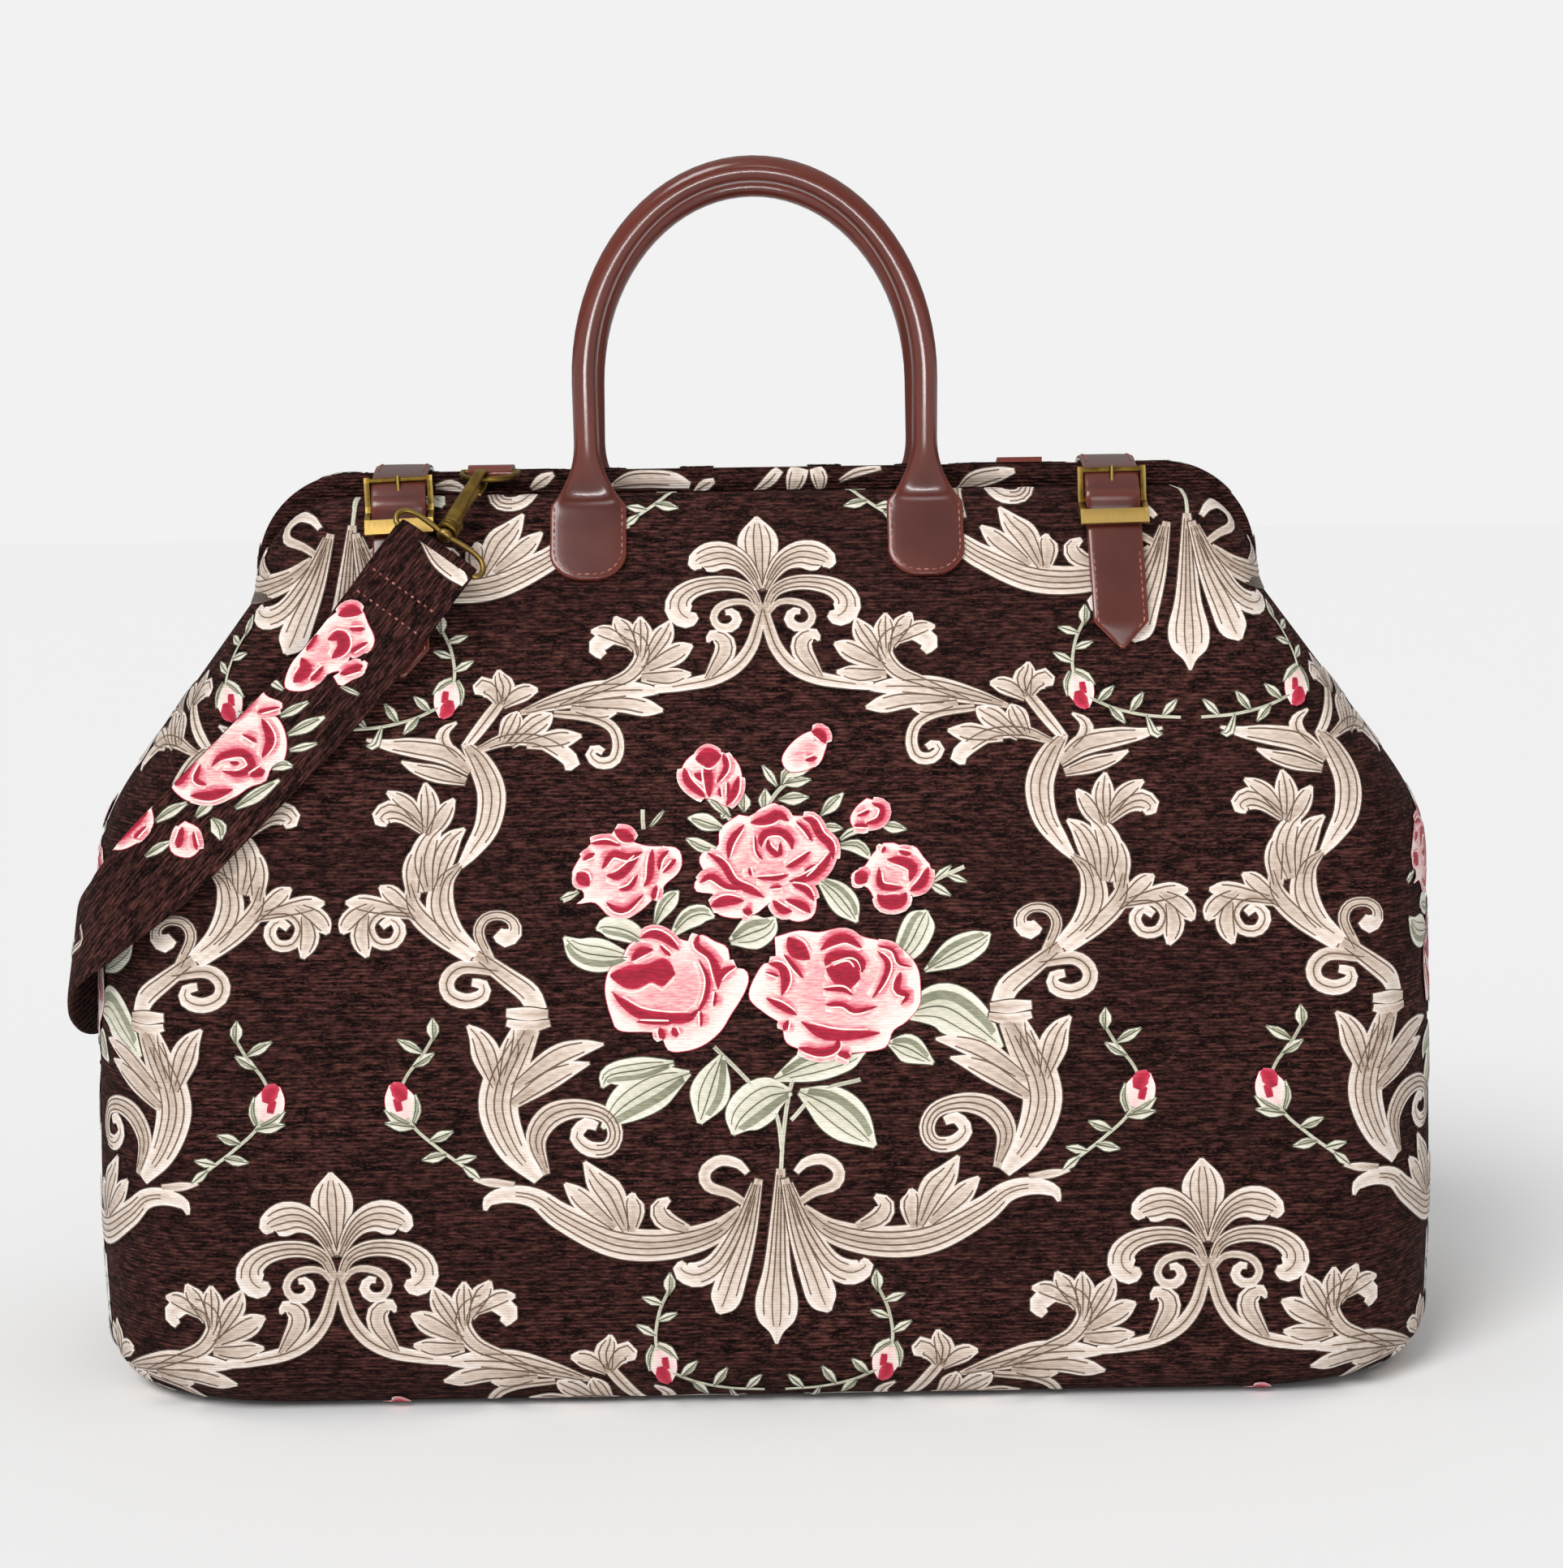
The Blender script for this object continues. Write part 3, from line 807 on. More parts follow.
# roses: petal edge points, then the red folds as strokes
ROSES = {
    "small left": (
        [(738, 1031), (755, 1028), (786, 1040), (800, 1043), (833, 1045), (840, 1062), (835, 1076),
         (821, 1088), (814, 1097), (800, 1112), (786, 1124), (767, 1133), (750, 1128), (733, 1112),
         (711, 1114), (721, 1104), (712, 1090), (705, 1078), (712, 1062), (724, 1045)],
        [[(742, 1071, 5), (755, 1053, 7), (773, 1056, 7), (792, 1050, 4)],
         [(747, 1079, 4), (764, 1078, 9), (788, 1054, 5)],
         [(804, 1047, 5), (802, 1066, 7), (800, 1083, 6), (793, 1093, 3)],
         [(711, 1076, 6), (718, 1083, 13), (726, 1092, 5)], [(718, 1060, 4), (733, 1052, 6)],
         [(728, 1040, 3), (747, 1038, 5), (766, 1043, 2)],
         [(757, 1023, 5), (770, 1030, 12), (782, 1037, 5)],
         [(762, 1097, 3), (776, 1093, 5), (786, 1078, 3)],
         [(747, 1112, 4), (760, 1121, 6), (774, 1120, 5), (793, 1102, 3)],
         [(809, 1091, 5), (804, 1109, 6)], [(812, 1073, 3), (814, 1059, 5), (824, 1048, 4)],
         [(817, 1076, 3), (833, 1059, 5)]]),
    "small right": (
        [(1089, 1039), (1103, 1039), (1111, 1043), (1127, 1043), (1138, 1057), (1146, 1067), (1146, 1086),
         (1131, 1096), (1119, 1106), (1111, 1122), (1099, 1122), (1079, 1108), (1070, 1094), (1050, 1084),
         (1052, 1074), (1066, 1067), (1075, 1053)],
        [[(1054, 1076, 8), (1061, 1081, 15), (1068, 1087, 7)],
         [(1083, 1069, 4), (1085, 1090, 7), (1101, 1094, 6), (1113, 1094, 3)],
         [(1093, 1059, 5), (1111, 1061, 9), (1125, 1069, 10), (1121, 1086, 5)],
         [(1107, 1049, 4), (1123, 1053, 6)], [(1144, 1069, 5), (1136, 1088, 9), (1121, 1098, 4)],
         [(1081, 1102, 5), (1091, 1111, 13), (1109, 1110, 13), (1117, 1100, 5)],
         [(1091, 1043, 5), (1087, 1051, 4)]]),
    "top": (
        [(911, 1004), (925, 1006), (938, 996), (956, 990), (972, 1004), (993, 1006), (1005, 1012),
         (1023, 1031), (1032, 1047), (1027, 1067), (1013, 1086), (1001, 1094), (1006, 1110), (1001, 1129),
         (981, 1135), (960, 1125), (950, 1112), (932, 1125), (911, 1131), (887, 1127), (875, 1114),
         (881, 1102), (858, 1098), (858, 1084), (870, 1080), (862, 1061), (868, 1049), (885, 1043),
         (887, 1023), (899, 1012)],
        [[(938, 1044, 5), (938, 1034, 8), (945, 1026, 8), (962, 1025, 8), (974, 1035, 8), (976, 1047, 4)],
         [(946, 1033, 3), (948, 1045, 6), (960, 1053, 6), (962, 1037, 3)],
         [(925, 1014, 6), (946, 1010, 10), (960, 1004, 10), (972, 1012, 4)],
         [(989, 1008, 5), (1001, 1012, 8), (1011, 1029, 8), (1023, 1041, 8), (1027, 1059, 4)],
         [(981, 1012, 3), (993, 1023, 5), (1001, 1037, 3)],
         [(917, 1016, 4), (901, 1037, 7), (897, 1059, 3)],
         [(930, 1029, 2), (932, 1049, 3), (940, 1059, 4)],
         [(872, 1051, 4), (891, 1065, 7), (905, 1086, 7), (927, 1098, 8), (942, 1106, 4)],
         [(862, 1088, 4), (876, 1080, 7), (895, 1092, 6), (917, 1096, 3)],
         [(876, 1117, 7), (895, 1110, 10), (917, 1110, 4)], [(915, 1121, 6), (927, 1125, 9)],
         [(952, 1110, 5), (964, 1121, 8), (976, 1123, 4)],
         [(968, 1108, 4), (989, 1116, 8), (999, 1125, 4)],
         [(976, 1090, 4), (993, 1096, 7), (1003, 1110, 4)],
         [(1025, 1049, 4), (1013, 1069, 8), (993, 1082, 8), (972, 1086, 4)],
         [(1005, 1065, 4), (991, 1076, 6)], [(999, 1049, 3), (981, 1063, 6), (968, 1069, 3)],
         [(932, 1082, 3), (956, 1082, 5), (972, 1078, 3)], [(948, 1094, 3), (964, 1092, 4)],
         [(923, 1069, 3), (925, 1080, 5)]]),
    "low left": (
        [(784, 1157), (800, 1151), (824, 1152), (848, 1160), (864, 1152), (880, 1160), (896, 1168),
         (901, 1190), (918, 1195), (922, 1208), (915, 1227), (901, 1249), (888, 1270), (869, 1286),
         (848, 1294), (824, 1294), (810, 1273), (765, 1270), (754, 1254), (746, 1222), (751, 1195),
         (765, 1184), (773, 1168)],
        [[(752, 1202, 14), (778, 1204, 24), (800, 1199, 18), (818, 1198, 28), (832, 1200, 10)],
         [(789, 1156, 4), (805, 1151, 8), (821, 1157, 8), (837, 1171, 4)],
         [(778, 1184, 4), (789, 1173, 9), (805, 1170, 4)], [(813, 1165, 3), (826, 1178, 5)],
         [(861, 1152, 7), (859, 1165, 7), (875, 1179, 6), (884, 1198, 9), (885, 1219, 5)],
         [(907, 1190, 3), (891, 1198, 7), (885, 1211, 4)],
         [(861, 1182, 2), (872, 1206, 5), (869, 1230, 5), (859, 1249, 4)],
         [(754, 1222, 3), (767, 1235, 8), (789, 1249, 10), (818, 1254, 10), (848, 1254, 10), (861, 1243, 4)],
         [(813, 1266, 6), (818, 1281, 8)], [(829, 1266, 6), (834, 1278, 7)],
         [(864, 1246, 4), (864, 1265, 3)], [(784, 1259, 3), (829, 1261, 4)],
         [(882, 1222, 3), (880, 1240, 4)]]),
    "low right": (
        [(955, 1155), (984, 1147), (1009, 1149), (1038, 1144), (1065, 1155), (1105, 1165), (1129, 1190),
         (1134, 1219), (1132, 1240), (1116, 1259), (1100, 1270), (1089, 1291), (1046, 1297), (1009, 1297),
         (971, 1286), (963, 1262), (944, 1249), (923, 1227), (939, 1190), (955, 1184)],
        [[(1017, 1190, 10), (1024, 1180, 12), (1046, 1177, 9), (1060, 1186, 12), (1062, 1198, 10)],
         [(1018, 1194, 8), (1036, 1200, 24), (1050, 1203, 26), (1060, 1206, 8)],
         [(1011, 1171, 4), (1025, 1160, 9), (1043, 1156, 9), (1062, 1168, 4)],
         [(971, 1155, 8), (982, 1170, 17), (998, 1182, 7)],
         [(966, 1176, 3), (979, 1192, 5), (990, 1206, 3)],
         [(947, 1187, 5), (963, 1192, 8), (968, 1208, 9), (963, 1227, 4)],
         [(943, 1198, 2), (960, 1203, 4)], [(944, 1230, 3), (963, 1240, 7), (982, 1251, 4)],
         [(1081, 1165, 3), (1100, 1171, 4), (1108, 1187, 4), (1124, 1191, 2)],
         [(1081, 1172, 3), (1094, 1187, 6), (1089, 1208, 5), (1075, 1230, 3)],
         [(1110, 1198, 6), (1105, 1219, 7), (1118, 1227, 5), (1110, 1238, 3)],
         [(1014, 1219, 3), (1038, 1219, 5), (1051, 1227, 2)],
         [(1017, 1238, 5), (1038, 1238, 5), (1054, 1246, 5), (1081, 1240, 3)],
         [(987, 1259, 4), (1011, 1272, 11), (1038, 1276, 10), (1084, 1273, 6)],
         [(984, 1291, 5), (1011, 1297, 8), (1030, 1291, 7), (1033, 1278, 5)],
         [(971, 1257, 4), (966, 1270, 7)], [(1031, 1297, 5), (1048, 1302, 8)]]),
    "top bud": (
        [(873, 924), (891, 928), (907, 938), (914, 957), (910, 976), (904, 986), (893, 993), (881, 986),
         (866, 983), (850, 974), (840, 957), (843, 942), (855, 930)],
        [[(857, 936, 8), (873, 934, 19), (889, 932, 8)], [(891, 930, 6), (895, 947, 6), (883, 966, 3)],
         [(871, 942, 8), (873, 959, 9), (874, 983, 5)], [(843, 947, 5), (848, 964, 8), (869, 983, 6)],
         [(855, 954, 6), (869, 961, 9)], [(910, 957, 4), (905, 976, 8), (895, 993, 5)],
         [(897, 964, 3), (898, 986, 5)], [(886, 971, 4), (888, 983, 3)]]),
    "right bud": (
        [(1001, 901), (1013, 904), (1019, 912), (1015, 929), (1009, 941), (993, 949), (973, 951),
         (964, 939), (966, 929), (976, 916), (989, 906)],
        [[(1000, 902, 6), (1011, 905, 10), (1017, 917, 5)], [(992, 938, 4), (1007, 934, 6)]]),
    "small bud": (
        [(1068, 984), (1085, 990), (1093, 1000), (1089, 1012), (1072, 1021), (1054, 1021), (1048, 1008),
         (1056, 994)],
        [[(1074, 990, 4), (1087, 996, 6), (1083, 1010, 6), (1066, 1016, 4)],
         [(1056, 1006, 3), (1072, 1000, 5)], [(1052, 1017, 4), (1070, 1018, 4)]]),
}


# Heights of the laid threads over the cloth, in mm
LIFT, LEVEL_STEP, ORDER_STEP = 0.16, 0.35, 0.0016
LEAST_W, FINE_STEP = 0.35, 1.6
STRIP_TONES = np.array([0.22, -0.02, -0.2, -0.02, 0.22])
STRIP_PUFF = np.array([0, 0.16, 0.22, 0.16, 0])
LINE_PUFF = np.array([0, 0.03, 0])
FOLD_PUFF = np.array([0, 0.05, 0.08, 0.05, 0])
PATCH_RINGS, PATCH_PUFF = (0.7, 0.35), (0.15, 0.2)
# Engraved lines on a scroll: room for each, most of them, how far out they lie and how wide they are
VEIN_ROOM, MOST_VEINS, VEIN_SPAN, VEIN_W = 3.0, 4, 0.62, 0.62
# Rose folds: tones across a soft and a crisp fold, the soft one's margin and the crisp one's width
SOFT_TONES, CRISP_TONES = (0.8, 0.46, 0.3, 0.4, 0.66), (0.3, 0.18, 0.08, 0.2, 0.36)
SOFT_MARGIN, CRISP_W, RIM_OUT, RIM_W = 2.6, 1.3, 1.55, 0.75
# Leaves wider than these have a shaded half and a side line
SHADED_LEAF, LINED_LEAF = 3.5, 9.0


def left_of(line):
    """Tangents and left-hand normals of a flat line."""
    t = np.gradient(line[:, :2], axis=0)
    return t, unit(np.stack([-t[:, 1], t[:, 0]], 1))


class Motif:
    """Ordered flat shapes, strips and patches, each with a thread number and tones."""

    def __init__(self, plane):
        self.plane = plane
        self.shapes = []

    def strip(self, points, thread, grow=0.0, tone=(0.35, 0.8), level=0.0, share=(0.0, 1.0), shift=0.0,
              width=None, step=2.4):
        """A strip along a line; a given width makes it a fine line at a share of the stroke's half width."""
        line = smooth_path(self.plane(points), step)
        line[:, 2] = np.maximum(line[:, 2], LEAST_W)
        t, n = left_of(line)
        half = line[:, 2] / 2
        m = len(line)
        lo = int(share[0] * (m - 1))
        hi = max(lo + 2, int(round(share[1] * (m - 1))) + 1)
        mid = line[:, :2] + n * (half * shift)[:, None]
        if width is not None:
            half = width / 2 * (0.5 + 0.5 * np.sin(np.linspace(0.25, math.pi - 0.15, m)))
        half = half + grow
        full = width is None and not grow
        cols = np.linspace(-1, 1, 5 if full else 3)
        rows = (mid[:, None, :] + n[:, None, :] * (half[:, None] * cols)[..., None])[lo:hi]
        if grow > 0:
            ends = unit(t[[lo, hi - 1]]) * grow
            rows = np.concatenate([rows[:1] - ends[0], rows, rows[-1:] + ends[1]])
        tones = np.linspace(tone[0], tone[1], len(rows))[:, None]
        if full:
            tones = tones + STRIP_TONES
        tones = np.clip(np.broadcast_to(tones, rows.shape[:2]), 0, 1)
        lift = LIFT + LEVEL_STEP * level + np.broadcast_to(STRIP_PUFF if full else LINE_PUFF, rows.shape[:2])
        self.add(rows.reshape(-1, 2), grid_faces(len(rows), len(cols)), thread, tones, lift)

    def add(self, points, faces, thread, tones, lift):
        order = ORDER_STEP * len(self.shapes)
        self.shapes.append((points, faces, thread, np.ravel(tones), np.ravel(lift) + order))

    def stroke(self, points, veins=True, thread=USE_CREAM, rim=USE_TAUPE, thick=0.5, tone=(0.25, 0.7)):
        """A woven scroll: dark edge, light floats with paler rims, and engraved lines along it."""
        self.strip(points, rim, thick, (0.1, 0.25))
        self.strip(points, thread, 0.0, tone, 0.35)
        if not veins:
            return
        wide = self.plane(points)[:, 2].max()
        lines = int(np.clip(wide / VEIN_ROOM, 1, MOST_VEINS))
        for i in range(lines):
            at = 0.0 if lines == 1 else -VEIN_SPAN + 2 * VEIN_SPAN * i / (lines - 1)
            far = 0.9 - 0.22 * abs(at)
            self.strip(points, rim, 0, (0.3, 0.55), 1.2, (0.04 + 0.08 * (i % 2), far), at, VEIN_W)

    def patch(self, outline, thread, edge=0.8, heart=0.4, level=0.3, grow=0.0):
        """A filled shape whose edge is lighter than its heart."""
        ring = self.plane([(u, v, 1) for u, v in list(outline) + [outline[0]]])
        ring = smooth_path(ring, 2.0)[:-1, :2]
        c = ring.mean(0)
        ring = ring + unit(ring - c) * grow
        n = len(ring)
        pts = np.concatenate([ring] + [c + (ring - c) * k for k in PATCH_RINGS] + [c[None]])
        faces = grid_faces(3, n, True) + [(2 * n + i, 2 * n + (i + 1) % n, 3 * n) for i in range(n)]
        tones = np.concatenate([np.full(n, edge), np.full(n, (edge + heart) / 2), np.full(n, heart), [heart]])
        puff = np.concatenate([np.zeros(n)] + [np.full(n, h) for h in PATCH_PUFF] + [[PATCH_PUFF[-1]]])
        self.add(pts, faces, thread, tones, LIFT + LEVEL_STEP * level + puff)

    def fold(self, points, soft, tones, level):
        """A shaded petal edge: a line across which the tone steps from pale to crimson and back."""
        line = smooth_path(self.plane(points), FINE_STEP)
        _, n = left_of(line)
        end = np.abs(np.linspace(-1, 1, len(line)))
        half = np.maximum(line[:, 2] / 2, 0.3) * np.sqrt(np.maximum(0.02, 1 - end ** 3))
        off = np.stack([-half - soft, -half * 0.8, 0 * half, half * 0.8, half + soft], 1)
        rows = line[:, None, :2] + n[:, None, :] * off[..., None]
        shade = np.broadcast_to(np.array(tones), off.shape) + 0.25 * (end ** 4)[:, None] * (soft > 0)
        lift = np.full(off.shape, LIFT + LEVEL_STEP * level) + FOLD_PUFF
        self.add(rows.reshape(-1, 2), grid_faces(len(rows), 5), USE_ROSE, np.clip(shade, 0, 1), lift)

    def rose(self, outline, folds):
        """Two patches for the flower, soft and then crisp folds, and a pale rim beside each fold."""
        self.patch(outline, USE_ROSE, 0.36, 0.36, 0.1, 0.35)
        self.patch(outline, USE_ROSE, 0.98, 0.66, 0.3)
        for fold in folds:
            self.fold(fold, SOFT_MARGIN, SOFT_TONES, 1.0)
        for fold in folds:
            self.fold([(u, v, w * CRISP_W) for u, v, w in fold], 0.0, CRISP_TONES, 1.25)
        for i, fold in enumerate(folds):
            way = 1.0 if i % 2 else -1.0
            self.strip(fold, USE_ROSE, 0, (0.98, 0.9), 1.5, (0.12, 0.88), way * RIM_OUT, RIM_W, FINE_STEP)

    def leaf(self, points):
        """A leaf with a dark edge, one shaded half, midrib and side lines."""
        self.strip(points, USE_MOSS, 0.45, (0.2, 0.4))
        self.strip(points, USE_GREEN, 0.0, (0.5, 0.85), 0.3)
        wide = self.plane(points)[:, 2].max()
        if wide > SHADED_LEAF:
            self.strip(points, USE_MOSS, 0, (0.6, 0.9), 1.1, (0.1, 0.85), 0.5, wide * 0.2)
        self.strip(points, USE_MOSS, 0, (0.2, 0.4), 1.2, (0.0, 0.92), 0.0, 0.55)
        if wide > LINED_LEAF:
            self.strip(points, USE_MOSS, 0, (0.4, 0.6), 1.2, (0.15, 0.85), -0.5, 0.5)

    def bud(self, u, v, size, lean):
        """A closed bud with two sepals; lean points to its tip, in degrees from up."""
        a = math.radians(lean)

        def at(along, side, wide):
            return (u + (math.sin(a) * along - math.cos(a) * side) * size,
                    v - (math.cos(a) * along + math.sin(a) * side) * size, wide * size)
        body = [at(-0.7, 0, 0.5), at(-0.1, 0, 1.35), at(0.55, 0, 1.05), at(1.0, 0, 0.2)]
        tip = [at(0.1, 0.15, 0.4), at(0.6, 0.2, 0.75), at(1.0, 0.02, 0.3)]
        foot = [at(-0.25, -0.2, 0.3), at(0.1, -0.12, 0.36), at(0.35, -0.2, 0.1)]
        self.stroke(body, False, USE_BLUSH, USE_RED, 0.35, (0.5, 0.8))
        self.strip(tip, USE_RED, 0, (0.4, 0.7), 1.2, step=FINE_STEP)
        self.strip(foot, USE_RED, 0, (0.4, 0.6), 1.2, step=FINE_STEP)
        for s in (-1, 1):
            self.leaf([at(-0.95, 0.1 * s, 0.3), at(-0.5, 0.5 * s, 0.45), at(0.1, 0.75 * s, 0.1)])

    def sprig(self, stem, leaves, buds, width=3.4):
        self.strip([(u, v, width) for u, v in stem], USE_MOSS, 0.25, (0.2, 0.4))
        self.strip([(u, v, width) for u, v in stem], USE_GREEN, 0, (0.3, 0.6), 0.2)
        for u, v, lean, length, wide in leaves:
            dx, dy = math.sin(math.radians(lean)) * length, -math.cos(math.radians(lean)) * length
            self.leaf([(u, v, 2), (u + dx * 0.5, v + dy * 0.5, wide), (u + dx, v + dy, 1.5)])
        for q in buds:
            self.bud(*q)


def cloth_plane(points):
    """Picture points (u, v, width) to pattern points in mm: girth from the axis, slope length, width."""
    q = np.asarray(points, float)
    p, z = spot(q[:, 0], q[:, 1])
    return np.stack([p - AXIS_P, s_of_z(z), q[:, 2] * PX], 1)


def medallion_half():
    """Right half of the scroll medallion with its sprigs."""
    m = Motif(cloth_plane)
    for group in (SIDE_SCROLL, ARCH_SCROLL, LOW_SCROLL, SHELLS):
        for name, points in group.items():
            m.stroke(points, name not in PLAIN_STROKES)
    for stem, leaves, buds in SPRIGS.values():
        m.sprig(stem, leaves, buds)
    return m


def bouquet():
    """Leaves on the axis and the rose bouquet, which isn't mirrored."""
    m = Motif(cloth_plane)
    for points in AXIS_LEAVES.values():
        m.stroke(points)
    for stem, leaves, buds in BOUQUET_SPRIGS.values():
        m.sprig(stem, leaves, buds, 4.5)
    for points in BOUQUET_LEAVES.values():
        m.leaf(points)
    for outline, folds in ROSES.values():
        m.rose(outline, folds)
    return m


def lay(heap, motif, place):
    """Puts a motif's shapes on a surface, facing outwards, and leaves out what falls past its edges."""
    points = np.concatenate([q[0] for q in motif.shapes])
    lift = np.concatenate([q[4] for q in motif.shapes])
    v, ok = place(points[:, 0], points[:, 1], lift)
    up = place(points[:, 0], points[:, 1], lift + 1.0)[0] - v
    start = 0
    for pts, faces, thread, tones, _ in motif.shapes:
        end = start + len(pts)
        here, good = v[start:end], ok[start:end]
        keep = [q for q in faces if good[list(q)].any()]
        if keep:
            a, b, c = (here[[q[k] for q in keep]] for k in range(3))
            if (np.cross(b - a, c - a) * up[start:end][[q[0] for q in keep]]).sum() < 0:
                keep = flipped(keep)
            heap.add(here, keep, thread, tones)
        start = end


# Repeat of the pattern: its width in mm, and its half drop between two like places of the picture frame
REPEAT_A = 345.0
DROP_U, DROP_V = np.array([933.0, 1497.0]), np.array([700.0, 1499.0])
DROP_ENDS = s_of_z(spot(DROP_U, DROP_V)[1])
HALF_DROP = float(DROP_ENDS[0] - DROP_ENDS[1])
LOW_HEM, HIGH_HEM, SIDE_HEM, PAST_HEM = 3.0, 6.0, 1.0, 0.5


def on_panel(shift_a, shift_s, mirror, rise, back):
    """Placing rule for one repeat of the pattern on the front or rear panel."""
    low, high = float(s_of_z(LOW_HEM)), float(s_of_z(edge_z(rise) + HIGH_HEM))

    def place(a, s, lift):
        p = AXIS_P * (-1 if back else 1) + (-a if mirror else a) + shift_a
        s = s + shift_s
        z = z_of_s(np.clip(s, low, high))
        g = half_girth(z, rise) - SIDE_HEM
        ok = (s > low - PAST_HEM) & (s < high + PAST_HEM) & (np.abs(p) < g + PAST_HEM)
        v = body_point(np.clip(p, -g, g), z, rise, lift)
        return (v * TURN_ROUND if back else v), ok
    return place


HALF, BOUQUET = medallion_half(), bouquet()
REPEATS = [(0, 0), (-REPEAT_A, 0), (REPEAT_A, 0)]
REPEATS += [(side * REPEAT_A / 2, drop * HALF_DROP) for side in (-1, 1) for drop in (-1, 1)]
for side_name, rise, back in (("front", 0.0, False), ("rear", REAR_RISE, True)):
    scrolls, flowers = Heap(), Heap()
    for da, ds in REPEATS:
        for mirror in (False, True):
            lay(scrolls, HALF, on_panel(da, ds, mirror, rise, back))
        lay(flowers, BOUQUET, on_panel(da, ds, back, rise, back))
    scrolls.put(side_name + "_scrolls", THREADS, slot="carpet_cloth")
    flowers.put(side_name + "_bouquets", THREADS, slot="carpet_cloth")


# Leather: handles with their tabs, sizes as in the part's source

TAB_Z, TAB_LEN, TAB_T, TAB_W, TAB_R = 341.0, 36.0, 3.0, 32.0, 13.0
LEG, RISE, ARCH, ROLL_D, NECK, LEAN = 69.5, 134.0, 86.0, 10.5, 26.0, math.radians(12)
CLEAR, PLAY = 0.3, 0.2
# Run from tab to roll: start of the bend below the tab's top, its end over the fold, and the roll's set-back
BEND_FROM, BEND_TO, BEND_PULL, SET_BACK = 5.0, 7.0, 5.0, -1.7
NECK_OVER, BLEND_FROM, BLEND_TO, PAST_LEG, HANDLE_SIDES = 4.0, 3.0, 6.0, 200.0, 24
# Where the section narrows and thickens: start below the tab's top and length past the neck
NARROW_FROM, NARROW_OVER, NARROW_POWER, TAB_IN = 3.0, 1.0, 2.3, 0.2
THICKEN_FROM, THICKEN_OVER, ROUND_POWER, TAB_SQUARE = 9.0, 5.0, 2.0, 3.0


def on_front(z):
    """Place on the front's middle at a height, with its up and out directions."""
    a = tilt(z)
    o = np.array([0.0, -float(face_d(z)), z])
    return o, np.array([0.0, math.sin(a), math.cos(a)]), np.array([0.0, -math.cos(a), math.sin(a)])


TAB_O, TAB_UP, TAB_OUT = on_front(TAB_Z)
FOLD = TAB_O + TAB_UP * (TAB_LEN / 2 + PLAY) + TAB_OUT * (CLEAR + TAB_T + PLAY)
ROLL_UP = np.array([0.0, -math.sin(LEAN), math.cos(LEAN)])
ROLL_OUT = np.array([0.0, -math.cos(LEAN), -math.sin(LEAN)])


def handle_leg(sx):
    """One leg from its tab's tip to the arch: points, outward directions and lengths from mid tab."""
    tip = -TAB_LEN / 2 + TAB_R * (1 - np.cos(np.linspace(0.12, math.pi / 2, 10)))
    flat = np.linspace(-TAB_LEN / 2 + TAB_R, TAB_LEN / 2 - BEND_FROM, 7)[1:]
    inside = TAB_O + TAB_OUT * (CLEAR + TAB_T / 2)
    rows = [(inside + TAB_UP * q, TAB_OUT, q) for q in np.concatenate([tip, flat])]
    end = rows[-1][0]
    top = FOLD + ROLL_UP * BEND_TO + ROLL_OUT * SET_BACK
    c1, c2 = end + TAB_UP * BEND_PULL, top - ROLL_UP * BEND_PULL
    for k in np.linspace(0.2, 1, 5):
        b = (1 - k) ** 3 * end + 3 * (1 - k) ** 2 * k * c1 + 3 * (1 - k) * k * k * c2 + k ** 3 * top
        out = unit(TAB_OUT * (1 - k) + ROLL_OUT * k)
        rows.append((b, out, TAB_LEN / 2 - BEND_FROM + (BEND_FROM + BEND_TO) * k))
    neck = np.linspace(BEND_TO, NECK + NECK_OVER, 12)[1:]
    straight = np.linspace(NECK + NECK_OVER, RISE - ARCH, 8)[1:]
    for q in np.concatenate([neck, straight]):
        rows.append((FOLD + ROLL_UP * q + ROLL_OUT * SET_BACK, ROLL_OUT, TAB_LEN / 2 + q))
    path = np.array([r[0] for r in rows]) + np.array([sx * LEG, 0, 0])
    return path, np.array([r[1] for r in rows]), np.array([r[2] for r in rows])


def handle_widths(q):
    """Half width, half thickness and squareness of the handle's section along a leg."""
    low = q + TAB_LEN / 2
    bow = np.sqrt(np.maximum(0.2, TAB_R ** 2 - (TAB_R - np.minimum(low, TAB_R)) ** 2))
    a = np.where(low < TAB_R, TAB_W / 2 - TAB_R + bow, TAB_W / 2)
    k = np.clip((q - TAB_LEN / 2 + NARROW_FROM) / (NECK + NARROW_OVER), 0, 1)
    a = np.minimum(a, ROLL_D / 2 + (TAB_W / 2 - TAB_IN - ROLL_D / 2) * (1 - k) ** NARROW_POWER)
    h = np.clip((q - TAB_LEN / 2 + THICKEN_FROM) / (NECK + THICKEN_OVER), 0, 1)
    b = TAB_T / 2 + (ROLL_D / 2 - TAB_T / 2) * h * h * (3 - 2 * h)
    return a, b, ROUND_POWER + TAB_SQUARE * (1 - h) ** 2


